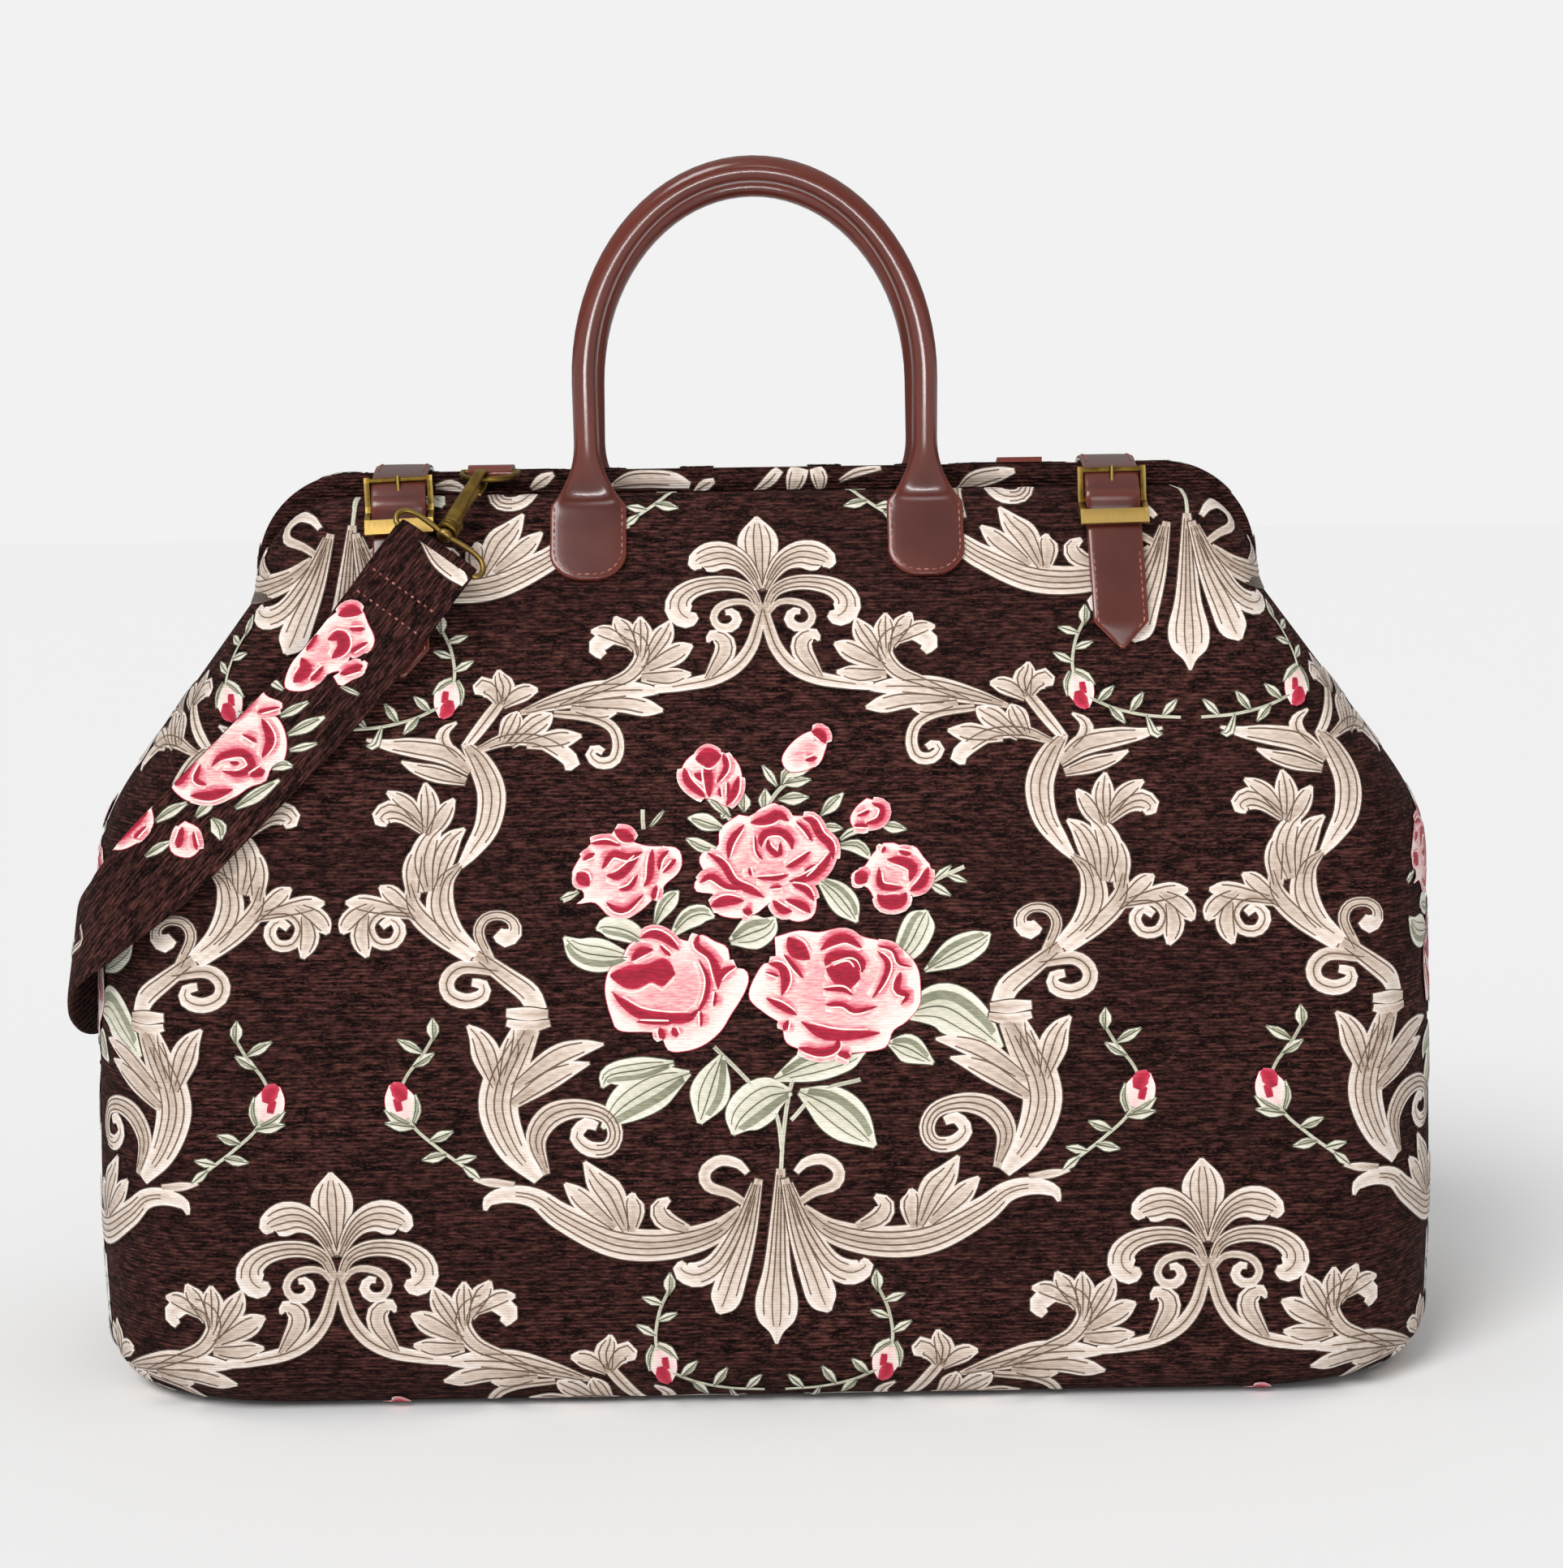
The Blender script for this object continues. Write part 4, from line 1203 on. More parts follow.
def handle(side):
    """Rolled handle and its two tabs in one piece, blended across the fold."""
    left, left_out, left_q = handle_leg(-1)
    right, right_out, right_q = handle_leg(1)
    ang = np.linspace(math.pi, 0, 41)[1:-1]
    centre = FOLD + ROLL_UP * (RISE - ARCH) + ROLL_OUT * SET_BACK
    sweep = np.stack([np.cos(ang) * LEG, np.zeros_like(ang), np.zeros_like(ang)], 1)
    arch = centre + sweep + np.sin(ang)[:, None] * ARCH * ROLL_UP
    path = np.concatenate([left, arch, right[::-1]])
    out = np.concatenate([left_out, np.repeat(ROLL_OUT[None], len(arch), 0), right_out[::-1]])
    a, b, square = handle_widths(np.concatenate([left_q, np.full(len(arch), PAST_LEG), right_q[::-1]]))
    across = unit(np.cross(unit(np.gradient(path, axis=0)), out))
    v, f = tube(path, across, out, a, b, square, HANDLE_SIDES)
    if side == "rear":
        v = v * MIRROR_Y
        f = flipped(f)
    ob = put(side + "_handle_leather", v, f, [LEATHER], body=None,
             replaces=(side + "_handle", side + "_left_tab", side + "_right_tab"), slot="leather")
    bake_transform(ob)


# A stitch: shares of its length, its thickness at each and how far it stands up
STITCH_AT = (0, 0.25, 0.5, 0.75, 1)
STITCH_ROUND = np.array([0.35, 0.9, 1.0, 0.9, 0.35])
STITCH_RISE = np.array([-0.1, 0.12, 0.18, 0.12, -0.1]) * 0.6
SEWN = 0.02


def stitches(heap, path, out, length=2.2, gap=1.0, wide=0.36, high=0.22):
    """Short thread bars along a line that lies on a surface."""
    path, out = np.asarray(path, float), np.asarray(out, float)
    lens = run_lengths(path)

    def at(d):
        return (np.array([np.interp(d, lens, path[:, i]) for i in range(3)]),
                unit(np.array([np.interp(d, lens, out[:, i]) for i in range(3)])))
    d = gap / 2
    while d + length < lens[-1]:
        pts, outs = zip(*[at(d + length * k) for k in STITCH_AT])
        pts, outs = np.array(pts), np.array(outs)
        across = np.cross(unit(np.gradient(pts, axis=0)), outs)
        pts = pts + outs * STITCH_RISE[:, None]
        v, f = tube(pts, across, outs, wide * STITCH_ROUND, high * STITCH_ROUND, 2, 6)
        heap.add(v, f, 0, 0.5 + 0.3 * math.sin(d * 7.3))
        d += length + gap


SEAM_IN, SEAM_END = 2.0, 3.0


def tab_stitches(side):
    """Seam round the lower edge of both tabs of a handle."""
    heap = Heap()
    x, r = TAB_W / 2 - SEAM_IN, TAB_R - SEAM_IN
    low, top = -TAB_LEN / 2 + TAB_R, TAB_LEN / 2 - SEAM_END
    a = np.linspace(0, math.pi / 2, 8)
    line = ([(-x, top), (-x, 0), (-x, low)]
            + [(-x + r - r * math.cos(q), low - r * math.sin(q)) for q in a[1:]]
            + [(x - r + r * math.sin(q), low - r * math.cos(q)) for q in a[:-1]]
            + [(x, low), (x, 0), (x, top)])
    for sx in (-1, 1):
        pts = np.array([TAB_O + np.array([sx * LEG + u, 0, 0]) + TAB_UP * s + TAB_OUT * (CLEAR + TAB_T - SEWN)
                        for u, s in line])
        outs = np.repeat(TAB_OUT[None], len(pts), 0)
        if side == "rear":
            pts, outs = pts * MIRROR_Y, outs * MIRROR_Y
        stitches(heap, pts, outs)
    heap.put(side + "_tab_stitches", [STITCH], slot="leather")


for side in ("front", "rear"):
    handle(side)
    tab_stitches(side)


# Belts: laid over the jaws and through the buckles, sizes as in the part's source

BELT_X, BELT_W, BELT_T, BUCKLE_Z = 147.0, 22.5, 2.6, 350.0
BAR_S, LOOP_OUT, CHAPE_T, CHAPE_LEN, KEEPER_W = 4.0, 2.7, 2.2, 36.0, 6.5
BAR_N = CLEAR + LOOP_OUT
OVER_BAR = BAR_N + LOOP_OUT + CLEAR
BOTTOM_S, TOP_S = BAR_S - 10, BAR_S + 11.5
TOP_N = OVER_BAR + BELT_T - 0.4
BELT_END_Z = 306.0
KEEPER_DIP, TOP_DIP, BELT_STEP, BELT_SQUARE = 2.0, 1.2, 1.6, 5.0
POINT_LEN, POINT_HALF, END_LEN, END_TAPER = 11.0, 0.8, 4.0, 0.35
BELT_SEAM, BELT_SIDES, SEAM_TOP_Z, SEAM_FROM, SEAM_BACK = 1.9, 28, 336.0, 5, 9


def off_front(z, h):
    return [-float(face_d(z)) - h * math.cos(tilt(z)), z + h * math.sin(tilt(z))]


def off_seat(s, n):
    a = tilt(BUCKLE_Z)
    y = -float(face_d(BUCKLE_Z)) + s * math.sin(a) - n * math.cos(a)
    return [y, BUCKLE_Z + s * math.cos(a) + n * math.sin(a)]


def off_back(z, h):
    return [float(face_d(z)) + h * math.cos(tilt(z)), z + h * math.sin(tilt(z))]


def off_edge(a, h):
    z = JAW_TOP + REAR_RISE - EDGE_R + (EDGE_R + h) * math.sin(a)
    return [edge_c(REAR_RISE) + (EDGE_R + h) * math.cos(a), z]


def belt(name, sx, lean, tip_z):
    """Belt from its point on the front, through the buckle and over the mouth, to its end on the rear."""
    lift = CLEAR + CHAPE_T + CLEAR
    top = JAW_TOP + REAR_RISE
    near = 2 * CLEAR
    raw = [off_front(tip_z, near),
           off_front(tip_z + POINT_LEN, lift),
           off_seat(BAR_S - CHAPE_LEN - near, lift),
           off_seat(BOTTOM_S - KEEPER_W, lift + CLEAR),
           off_seat(BOTTOM_S + KEEPER_W / 2, OVER_BAR - KEEPER_DIP),
           off_seat(BAR_S, OVER_BAR + CLEAR),
           off_seat(BAR_S + LOOP_OUT, OVER_BAR),
           off_seat(TOP_S, TOP_N - TOP_DIP - BELT_T),
           [-HALF_GAP - EDGE_R / 2, top + 0.5 * CLEAR],
           [0, top + near],
           off_edge(math.pi / 2, near),
           off_edge(math.radians(60), near),
           off_edge(tilt(JAW_TOP), near),
           off_back(JAW_TOP - EDGE_R, near),
           off_back((JAW_TOP + BELT_END_Z) / 2, near),
           off_back(BELT_END_Z, near)]
    line = smooth_path(np.array([[0.0, y, z] for y, z in raw]), BELT_STEP)
    out = unit(np.cross(np.array([1.0, 0, 0]), unit(np.gradient(line, axis=0))))
    lens = run_lengths(line)
    left = lens[-1] - lens
    shift = sx * BELT_X + math.tan(math.radians(lean)) * np.maximum(-EDGE_R, BUCKLE_Z - line[:, 2])
    centre = line + out * (BELT_T / 2) + np.stack([shift, 0 * shift, 0 * shift], 1)
    half = np.minimum(BELT_W / 2, POINT_HALF + lens * (BELT_W / 2 - POINT_HALF) / POINT_LEN)
    taper = BELT_W / 2 - (END_LEN - np.minimum(END_LEN, left)) * END_TAPER
    half = np.where(left < END_LEN, taper, half)
    across = np.repeat(np.array([[1.0, 0, 0]]), len(line), 0)
    v, f = tube(centre, across, out, half, BELT_T / 2, BELT_SQUARE, BELT_SIDES)
    put(name + "_belt_leather", v, f, [LEATHER], replaces=(name + "_belt",), slot="leather")
    heap = Heap()
    face = centre + out * (BELT_T / 2 + SEWN)
    below = (SEAM_FROM, int(np.argmax(line[:, 2] > SEAM_TOP_Z)))
    behind = (int(np.argmax(line[:, 1] > 0)) - SEAM_BACK, len(line) - 2)
    for s in (-1, 1):
        rail = face + across * (np.maximum(0.3, half - BELT_SEAM) * s)[:, None]
        for a, b in (below, behind):
            stitches(heap, rail[a:b], out[a:b])
    heap.put(name + "_belt_stitches", [STITCH], slot="leather")


belt("left", -1, 2.5, 288.0)
belt("right", 1, 1.0, 295.0)


# Brass and small leather pieces keep their solids, with eased edges

def dress(kinds, mat, width):
    names = [side + kind for kind in kinds for side in ("left_", "right_")]
    paint(names, mat)
    for name in names:
        bev = NODES[name].modifiers.new("eased", "BEVEL")
        bev.width, bev.segments = width / 1000, 3
        bev.limit_method, bev.angle_limit = "ANGLE", math.radians(35)
        bev.harden_normals = False


dress(["buckle", "prong", "ring", "gate_pin"], BRASS, 0.35)
dress(["hook_gate"], BRASS, 0.5)
dress(["chape", "ring_tab"], LEATHER, 0.5)


# Shoulder strap: its route is the one in the part's source

ROUTE = [(-131, -51, 339), (-139, -55, 328.5), (-150, -57.5, 314), (-162, -60.5, 298.5),
         (-175, -64, 283.5), (-199, -72, 259), (-221, -80, 237), (-243, -87, 215), (-263, -84, 197),
         (-279, -62, 182), (-284.6, -36.1, 167), (-285.5, -11, 155), (-285.3, 14, 149),
         (-286.5, 39.1, 148.1), (-280.8, 63.6, 152.1), (-265.9, 87.5, 159.2), (-241.5, 100.5, 168.2),
         (-212, 100, 177), (-182, 96.5, 185), (-151, 93.5, 194), (-100, 88.5, 207.5), (-50, 83.5, 223),
         (0, 77, 241), (34, 70.5, 260), (58, 64, 279.5), (74, 59, 297), (85, 54, 313)]
STRAP_W, STRAP_T, FOLD_LEN, WIRE = 38.0, 2.8, 44.0, 2.4
FOLD_GAP = STRAP_T + 0.25
ROUTE_STEP, NEAR_LEN, OFF_SCALE, UP_LEAN = 2.5, 330.0, 60.0, 0.45
STRAP_SQUARE, STRAP_SIDES, FOLD_SIDES, WIRE_SIDES = 6.0, 32, 28, 12
STRAP_ROSES = {
    "upper": (
        [(418, 753), (444, 750), (454, 769), (462, 789), (454, 805), (434, 808), (425, 824), (405, 831),
         (389, 847), (369, 852), (353, 847), (356, 828), (366, 808), (373, 789), (392, 772), (405, 763)],
        [[(418, 759, 6), (434, 753, 12), (447, 756, 6)],
         [(405, 789, 6), (421, 784, 12), (424, 798, 12), (410, 812, 6)],
         [(373, 811, 6), (378, 826, 13), (363, 841, 8)], [(431, 776, 4), (451, 776, 5)],
         [(392, 782, 4), (379, 802, 5)], [(454, 792, 4), (431, 805, 6)], [(400, 822, 4), (384, 840, 6)]]),
    "upper petal": (
        [(412, 834), (432, 822), (452, 815), (450, 828), (432, 840), (420, 846)],
        [[(420, 832, 6), (448, 821, 9)]]),
    "lower": (
        [(314, 883), (340, 883), (353, 909), (350, 938), (334, 948), (327, 964), (308, 971), (288, 984),
         (262, 990), (233, 987), (213, 968), (220, 948), (243, 922), (262, 899), (288, 880)],
        [[(262, 945, 4), (275, 932, 8), (301, 929, 8), (311, 945, 8), (295, 955, 7), (275, 951, 4)],
         [(284, 940, 3), (296, 942, 6)], [(243, 932, 5), (223, 961, 10), (217, 968, 5)],
         [(324, 886, 5), (334, 912, 9), (324, 935, 5)], [(236, 981, 5), (262, 981, 10), (288, 974, 5)],
         [(308, 958, 5), (327, 951, 11)], [(249, 942, 3), (243, 961, 6), (256, 968, 4)],
         [(272, 893, 4), (249, 922, 7)], [(300, 905, 3), (318, 915, 5)]]),
    "lower crown": (
        [(322, 846), (330, 858), (348, 866), (346, 876), (326, 884), (306, 882), (284, 892), (276, 886),
         (300, 864)],
        [[(318, 852, 5), (303, 868, 9), (284, 887, 5)], [(346, 872, 3), (318, 878, 5)]]),
    "left bud": (
        [(187, 990), (190, 1016), (174, 1036), (151, 1049), (134, 1047), (148, 1029), (168, 1010),
         (181, 997)],
        [[(184, 1000, 5), (161, 1020, 10), (142, 1042, 5)], [(182, 1018, 3), (166, 1034, 5)]]),
    "right bud": (
        [(229, 1013), (246, 1023), (249, 1042), (236, 1057), (217, 1054), (210, 1042), (217, 1023)],
        [[(226, 1020, 5), (220, 1046, 9)], [(239, 1026, 3), (243, 1049, 5)]]),
}
STRAP_LEAVES = {
    "pair high": [(356, 906, 4), (378, 896, 15), (400, 885, 3)],
    "crown leaf": [(347, 883, 4), (362, 876, 11), (380, 866, 3)],
    "long low": [(291, 997, 4), (316, 982, 15), (344, 963, 3)],
    "small low": [(243, 1007, 4), (254, 996, 13), (266, 986, 3)],
    "round low": [(262, 1010, 4), (270, 1022, 19), (272, 1036, 3)],
    "bud leaf": [(194, 1012, 4), (212, 1000, 13), (231, 990, 3)],
    "bud spur": [(181, 1056, 3), (196, 1046, 11), (211, 1038, 3)],
    "edge twig": [(358, 926, 3), (374, 922, 9), (390, 918, 2)],
    "edge knob": [(336, 948, 4), (348, 944, 13), (360, 946, 3)],
    "top spur": [(350, 850, 3), (340, 842, 9), (330, 834, 3)],
    "top twig": [(421, 847, 2), (432, 852, 5), (442, 857, 2)],
}
STRAP_CREAM = {
    "end leaf": [(519, 660, 6), (540, 690, 20), (560, 708, 22), (572, 722, 10)],
    "turn line one": [(88, 1140, 5), (112, 1166, 8), (136, 1192, 4)],
    "turn line two": [(88, 1158, 4), (108, 1182, 7), (126, 1204, 3)],
    "turn leaf": [(92, 1176, 4), (98, 1200, 10), (104, 1226, 4)],
}
STITCH_ROWS = {"high": [(472, 700), (526, 758)], "low": [(444, 723), (505, 782)]}


def body_normal(p):
    """Rough outward direction of the body at points beside it."""
    z = p[:, 2]
    w, d, c, f = half_w(z) + pinch(z), half_d(z), corner(z), side_flat(z)
    px = np.maximum(0, np.abs(p[:, 0]) - w + c)
    py = np.maximum(0, np.abs(p[:, 1]) - f)
    out_x = np.sign(p[:, 0]) * px / c ** 2
    out_y = np.sign(p[:, 1]) * py / (d - f) ** 2
    return unit(np.stack([out_x, out_y, UP_LEAN / d], 1))


line = smooth_path(np.array(ROUTE, float), ROUTE_STEP)
line_len = run_lengths(line)
tang = unit(np.gradient(line, axis=0))
wide = unit(np.cross(body_normal(line), tang))
for _ in range(3):
    wide[1:-1] = unit(wide[:-2] + 2 * wide[1:-1] + wide[2:])
outw = np.cross(tang, wide)


def strap_plane(points):
    """Picture points (u, v, width) to length along the strap, place across it and width, in mm."""
    near = int(np.searchsorted(line_len, NEAR_LEN))
    mid = seen(line[:near])
    rim = seen(line[:near] + wide[:near] * STRAP_W / 2) - mid
    along = np.gradient(mid, axis=0)
    out = []
    for u, v, w in np.asarray(points, float):
        gap = np.array([u, v]) - mid
        skew = np.abs((gap * along).sum(1)) / np.maximum(1e-6, (along ** 2).sum(1))
        i = int(np.argmin(skew + np.linalg.norm(gap, axis=1) / OFF_SCALE))
        step = float((gap[i] @ along[i]) / (along[i] @ along[i]))
        across = float((gap[i] @ rim[i]) / (rim[i] @ rim[i]))
        out.append((line_len[i] + step * ROUTE_STEP, across * STRAP_W / 2, w * PX))
    return np.array(out)


STRAP_HEM, PAST_STRAP, SUNK = 0.7, 1.5, 0.1


def along_strap(at, rows):
    """Values of the strap's rows at lengths along it."""
    return np.stack([np.interp(at, line_len, rows[:, k]) for k in range(3)], -1)


def on_strap(length, across, lift):
    at = np.clip(length, 0, line_len[-1])
    mid, side, up = (along_strap(at, q) for q in (line, wide, outw))
    room = STRAP_W / 2 - STRAP_HEM
    ok = (np.abs(across) < room + PAST_STRAP) & (length > 0)
    v = mid + side * np.clip(across, -room, room)[:, None] + up * (STRAP_T / 2 - SUNK + lift)[:, None]
    return v, ok


def strap_cloth():
    v, f = tube(line, wide, outw, STRAP_W / 2, STRAP_T / 2, STRAP_SQUARE, STRAP_SIDES)
    return put("strap_cloth", v, f, [STRAP_CLOTH], replaces=("shoulder_strap",), slot="carpet_cloth")


def strap_pattern():
    m = Motif(strap_plane)
    for points in STRAP_CREAM.values():
        m.stroke(points)
    for points in STRAP_LEAVES.values():
        m.leaf(points)
    for outline, folds in STRAP_ROSES.values():
        m.rose(outline, folds)
    heap = Heap()
    lay(heap, m, on_strap)
    return heap.put("strap_flowers", THREADS, slot="carpet_cloth")


BAR_PAST, TURN_STEPS, TURN_OVER, FOLD_IN = 1.2, 9, 0.6, 0.6


def strap_end(at_start):
    """Last stretch of the strap, from its end: points, width and outward axes, way back, bar's centre."""
    keep = int(np.searchsorted(line_len, FOLD_LEN))
    k = slice(0, keep) if at_start else slice(None, -keep - 1, -1)
    pts, ww, oo = line[k], wide[k], outw[k]
    back = unit(pts[0] - pts[1])
    return pts, ww, oo, back, pts[0] - oo[0] * FOLD_GAP / 2 + back * BAR_PAST


def strap_fold(name, at_start):
    """End of the strap, turned round the loop's bar and sewn down behind."""
    pts, ww, oo, back, bar = strap_end(at_start)
    under = (pts - oo * FOLD_GAP)[::-1]
    a = np.linspace(-math.pi / 2, math.pi / 2, TURN_STEPS)
    round_bar = back * (np.cos(a) * (FOLD_GAP / 2 + TURN_OVER))[:, None]
    turn = bar + round_bar + oo[0] * (np.sin(a) * FOLD_GAP / 2)[:, None]
    path = np.concatenate([under[:-1], turn, pts[:2]])
    across = np.concatenate([ww[::-1][:-1], np.repeat(ww[:1], TURN_STEPS, 0), ww[:2]])
    t = unit(np.gradient(path, axis=0))
    out = unit(np.cross(across, t))
    v, f = tube(path, across, out, STRAP_W / 2 - FOLD_IN, STRAP_T / 2, STRAP_SQUARE, FOLD_SIDES)
    return put(name, v, f, [STRAP_CLOTH], slot="carpet_cloth")


ROW_POINTS, ROW_IN = 24, 2.5


def strap_stitches():
    """Two rows of stitches across the strap that hold its folded end."""
    heap = Heap()
    for a, b in STITCH_ROWS.values():
        along = strap_plane([(*a, 1), (*b, 1)])[:, 0].mean()
        at = np.full(ROW_POINTS, along)
        across = np.linspace(-STRAP_W / 2 + ROW_IN, STRAP_W / 2 - ROW_IN, ROW_POINTS)
        v, _ = on_strap(at, across, np.full(ROW_POINTS, SEWN))
        stitches(heap, v, along_strap(at, outw), length=1.5, gap=1.7, wide=0.5, high=0.34)
    return heap.put("strap_stitches", [STITCH], slot="carpet_cloth")


# Loop: half outline of the wire as (across, up) from the bar; stud as (radius, height) from the swivel point
LOOP_SHAPE = [(2.0, 8.4), (8.0, 8.9), (14.0, 8.9), (18.6, 7.6), (21.0, 4.6), (20.4, 1.4), (17.0, 0.0),
              (0.0, 0.0)]
STUD = [(0.2, -7.5), (2.6, -7.5), (3.1, -6.9), (3.1, -5.1), (2.6, -4.5), (1.6, -4.4), (1.5, -1.0),
        (0.2, -1.0)]
EYE_BACK, LOOP_STEP = 5.6, 0.8


def joint_of(name):
    return next(j for j in frame["record"]["behaviour"]["joints"] if j["name"] == name)


def hook_frame(side, way):
    """Swivel point of a hook with its axes: across the hook, up the hook and away from the cloth, in mm."""
    swivel, gate = joint_of(side + "_hook_swivel"), joint_of(side + "_gate_press")
    y = unit(np.array(swivel["axis"], float)) * way
    x = unit(np.array(gate["axis"], float))
    return np.array(swivel["pos_m"], float) * MM, x, y, np.cross(x, y)


def lathe(heap, origin, x, y, z, profile, sides=24):
    """Turned shape about y from (radius, height) points."""
    a = np.linspace(0, -2 * math.pi, sides, endpoint=False)
    rows = [origin + y * h + r * (np.cos(a)[:, None] * x + np.sin(a)[:, None] * z) for r, h in profile]
    heap.add(np.concatenate(rows), grid_faces(len(profile), sides, True))


def strap_loop(side, way, at_start):
    """Round-cornered wire loop from the hook's stud to the bar in the strap's end."""
    at, x, y, z = hook_frame(side, way)
    _, ww, _, _, bar = strap_end(at_start)
    half = np.array(LOOP_SHAPE)
    ring = np.concatenate([half, (half * np.array([-1, 1]))[::-1][1:]])
    ring = smooth_path(np.column_stack([ring, np.zeros(len(ring))]), LOOP_STEP)
    rise = (at - y * EYE_BACK - bar) / LOOP_SHAPE[0][1]
    path = bar + ring[:, :1] * ww[0] + ring[:, 1:2] * rise
    t = unit(np.gradient(path, axis=0))
    out = np.repeat(unit(np.cross(ww[0], rise))[None], len(path), 0)
    heap = Heap()
    heap.add(*tube(path, np.cross(t, out), out, WIRE / 2, WIRE / 2, 2, WIRE_SIDES))
    lathe(heap, at, x, y, z, STUD)
    return heap.put(side + "_loop_wire", [BRASS], replaces=(side + "_strap_loop",), slot="antique_brass")


# Hook: lever from the collar to the curl as (up, out, half width, half thickness) from the swivel point
LEVER = [(-0.2, 1.2, 3.3, 2.5), (3.0, 1.3, 3.4, 2.4), (7.0, 2.1, 3.2, 1.9), (12.0, 2.7, 2.9, 1.4),
         (21.0, 3.1, 2.5, 1.1), (29.0, 3.2, 2.2, 1.0)]
CURL_AT, CURL_R, CURL_HALF, NOSE, NOSE_HALF = (29.0, -0.8), 4.0, (2.1, 1.0), 4.5, (1.9, 0.9)
COLLAR = [(2.2, 0.0), (4.1, 0.0), (4.5, -0.5), (4.5, -1.6), (4.1, -2.0), (4.5, -2.4), (4.5, -3.5),
          (4.1, -4.0), (2.2, -4.0), (2.2, 0.0)]
CHEEK_X, CHEEK_W, CHEEK_T, CHEEK_OUT, CHEEK_LEN, CHEEK_ROWS = 2.45, 0.7, 2.6, -1.6, 5.0, 6
CURL_FROM, CURL_TO, CURL_POINTS, LEVER_STEP = 70, -90, 9, 0.9
LEVER_SQUARE, LEVER_SIDES, CHEEK_SQUARE, CHEEK_SIDES = 2.5, 20, 5.0, 16


def hook(side, way):
    """Smooth lever hook with its curl, nose, cheeks for the gate's pin and bored collar."""
    at, x, y, z = hook_frame(side, way)
    a = np.radians(np.linspace(CURL_FROM, CURL_TO, CURL_POINTS))
    curl = [(CURL_AT[0] + CURL_R * math.cos(t), CURL_AT[1] + CURL_R * math.sin(t), *CURL_HALF) for t in a]
    nose = [(CURL_AT[0] - NOSE, CURL_AT[1] - CURL_R, *NOSE_HALF)]
    q = smooth_path(np.array(LEVER + curl + nose), LEVER_STEP)
    path = at + q[:, :1] * y + q[:, 1:2] * z
    t = unit(np.gradient(path, axis=0))
    across = np.repeat(x[None], len(path), 0)
    heap = Heap()
    out = np.cross(t, across)
    heap.add(*tube(path, across, out, q[:, 2], q[:, 3], LEVER_SQUARE, LEVER_SIDES))
    for s in (-1, 1):
        up = np.linspace(-0.1, CHEEK_LEN, CHEEK_ROWS)[:, None]
        run = at + x * s * CHEEK_X + z * CHEEK_OUT + y * up
        side_on, out = np.repeat(x[None], CHEEK_ROWS, 0), np.repeat(z[None], CHEEK_ROWS, 0)
        heap.add(*tube(run, side_on, out, CHEEK_W, CHEEK_T, CHEEK_SQUARE, CHEEK_SIDES))
    lathe(heap, at, x, y, z, COLLAR)
    heap.put(side + "_hook_lever", [BRASS], body=side + "_hook", replaces=(side + "_hook",),
             slot="antique_brass")


hook("left", 1)
hook("right", -1)
STRAP = strap_cloth()
extras = [strap_loop("left", 1, True), strap_loop("right", -1, False), strap_pattern(), strap_stitches(),
          strap_fold("strap_fold_left", True), strap_fold("strap_fold_right", False)]


# Bits of the pattern on the rear jaw's facing, where it stands above the front jaw

RIM_STROKES = {
    "left leaf": [(537, 600, 6), (556, 598, 14), (574, 604, 6)],
    "far left leaf": [(655, 602, 6), (668, 592, 16), (682, 584, 6)],
    "fan": [(752, 600, 4), (775, 592, 20), (800, 590, 22), (830, 592, 20), (850, 598, 8)],
    "fan tip": [(856, 606, 4), (868, 598, 14), (880, 592, 6)],
    "shell left": [(930, 606, 4), (948, 592, 14), (960, 578, 12)],
    "shell middle": [(975, 608, 10), (980, 592, 24), (985, 576, 24)],
    "shell right": [(1010, 606, 6), (1010, 590, 20), (1005, 576, 16)],
    "shell wing": [(1035, 592, 4), (1055, 582, 10), (1085, 576, 6)],
    "right leaf": [(1180, 606, 6), (1200, 592, 22), (1230, 584, 18), (1250, 580, 6)],
}
RIM_LOW, RIM_HIGH, RIM_PAST, RIM_SUNK = 0.4, 0.2, 0.5, 0.1


def rim_plane(points):
    q = np.asarray(points, float)
    d = ray(q[:, 0], q[:, 1])
    hit = EYE + d * ((HALF_GAP - EYE[1]) / d[:, 1])[:, None]
    return np.stack([hit[:, 0], hit[:, 2], q[:, 2] * PX], 1)


def on_rim(x, z, lift):
    low, high = JAW_TOP + RIM_LOW, JAW_TOP + REAR_RISE - RIM_HIGH
    ok = (z > low - RIM_PAST) & (z < high + RIM_PAST)
    return np.stack([x, HALF_GAP + RIM_SUNK - lift, np.clip(z, low, high)], -1), ok


def rim_pattern():
    m = Motif(rim_plane)
    for points in RIM_STROKES.values():
        m.stroke(points)
    heap = Heap()
    lay(heap, m, on_rim)
    heap.put("rear_rim_scrolls", THREADS, slot="carpet_cloth")


rim_pattern()


# Studio

SENSOR, CLIP_NEAR, CLIP_FAR = 36.0, 0.05, 50
FLOOR_HALF, PAPER = 8.0, lin(254, 254, 254)
SKY, SHOWN = 0.5, lin(242, 242, 242)
# What shiny pieces mirror: (share of the way up, grey)
ROOM = ((0.05, 0.16), (0.9, 0.7))
# A low strip lamp in front, below the picture, that the forward-leaning handles mirror
LOW_AT, LOW_AIM = (0.0, -0.85, 0.06), (0.0, -0.05, 0.43)
LOW_SIZE, LOW_WATTS, LOW_SPREAD = (0.4, 0.06), 0.45, 70


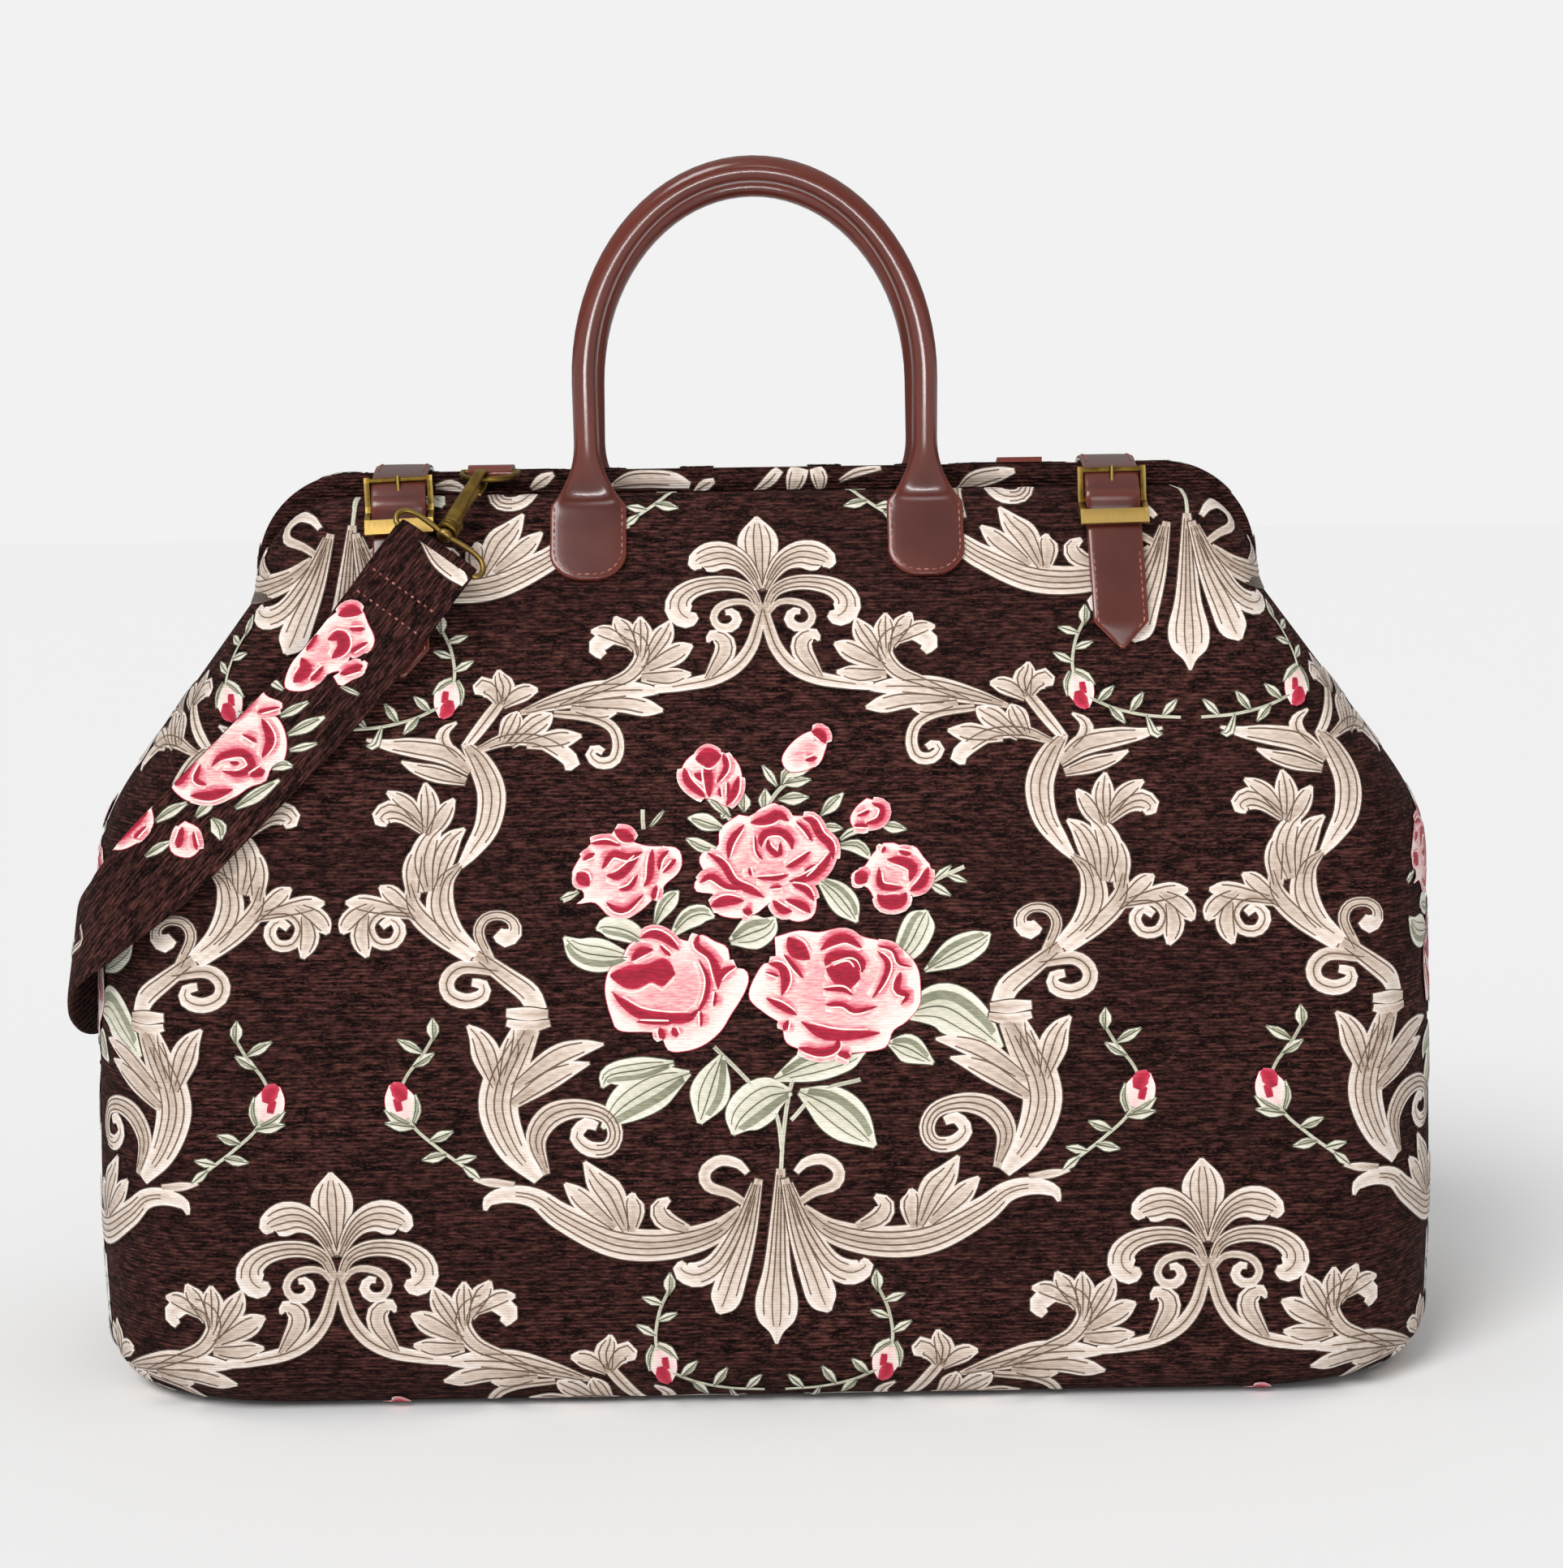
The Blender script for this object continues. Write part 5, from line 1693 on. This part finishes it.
def camera():
    data = bpy.data.cameras.new("camera")
    data.sensor_width, data.lens = SENSOR, FOCAL * SENSOR / FRAME_H
    data.clip_start, data.clip_end = CLIP_NEAR, CLIP_FAR
    ob = bpy.data.objects.new("camera", data)
    m = Matrix.Identity(4)
    for i in range(3):
        m[i][0], m[i][1], m[i][2], m[i][3] = RIGHT[i], UP[i], -AHEAD[i], EYE[i] / MM
    ob.matrix_world = m
    bpy.context.scene.collection.objects.link(ob)
    bpy.context.scene.camera = ob


def lamp(name, kind, toward):
    """A lamp that shines from the given direction."""
    data = bpy.data.lights.new(name, kind)
    ob = bpy.data.objects.new(name, data)
    ob.rotation_mode = "QUATERNION"
    ob.rotation_quaternion = Vector(toward).to_track_quat("Z", "Y")
    bpy.context.scene.collection.objects.link(ob)
    return ob, data


def sun(name, toward, strength, angle):
    _, data = lamp(name, "SUN", toward)
    data.energy, data.angle = strength, math.radians(angle)


def low_lamp():
    ob, data = lamp("low", "AREA", Vector(LOW_AT) - Vector(LOW_AIM))
    data.shape = "RECTANGLE"
    data.size, data.size_y = LOW_SIZE
    data.energy, data.spread = LOW_WATTS, math.radians(LOW_SPREAD)
    ob.location = LOW_AT
    ob.visible_camera = False


def sky():
    """Plain light for diffuse rays, a soft gradient for mirrored rays and light grey for the picture."""
    world = bpy.context.scene.world or bpy.data.worlds.new("studio")
    bpy.context.scene.world = world
    world.use_nodes = True
    nt = world.node_tree
    nt.nodes.clear()

    def node(kind, *ins):
        n = nt.nodes.new(kind)
        for socket, value in zip(n.inputs, ins):
            if isinstance(value, bpy.types.NodeSocket):
                nt.links.new(value, socket)
            else:
                socket.default_value = value
        return n

    def either(a, b):
        n = node("ShaderNodeMath", a, b)
        n.operation = "MAXIMUM"
        return n.outputs[0]

    rays = node("ShaderNodeLightPath").outputs
    direct = either(either(rays["Is Camera Ray"], rays["Is Glossy Ray"]), rays["Is Transmission Ray"])
    up = node("ShaderNodeSeparateXYZ", node("ShaderNodeTexCoord").outputs["Generated"]).outputs[2]
    room = node("ShaderNodeValToRGB", up)
    for e, (x, g) in zip(room.color_ramp.elements, ROOM):
        e.position, e.color = x, (g, g, g, 1)
    light = node("ShaderNodeBackground", WHITE, SKY).outputs[0]
    shown = node("ShaderNodeBackground", SHOWN, 1.0).outputs[0]
    mirrored = node("ShaderNodeBackground", room.outputs[0]).outputs[0]
    gloss = node("ShaderNodeMixShader", rays["Is Glossy Ray"], shown, mirrored).outputs[0]
    node("ShaderNodeOutputWorld", node("ShaderNodeMixShader", direct, light, gloss).outputs[0])


def lay_floor():
    me = bpy.data.meshes.new("floor")
    corners = [(x * FLOOR_HALF, y * FLOOR_HALF, 0) for x, y in ((-1, -1), (1, -1), (1, 1), (-1, 1))]
    me.from_pydata(corners, [], [(0, 1, 2, 3)])
    floor = bpy.data.objects.new("floor", me)
    bpy.context.scene.collection.objects.link(floor)
    m = Mat("floor_paper")
    m.set(Base_Color=PAPER, Roughness=0.9, Specular_IOR_Level=0.1)
    me.materials.append(m.m)


camera()
sky()
sun("key", (-0.45, -0.75, 0.8), 1.75, 26)
low_lamp()
sun("front", (0.05, -1.0, 0.36), 0.16, 12)
lay_floor()
bpy.context.scene.view_settings.view_transform = "Standard"
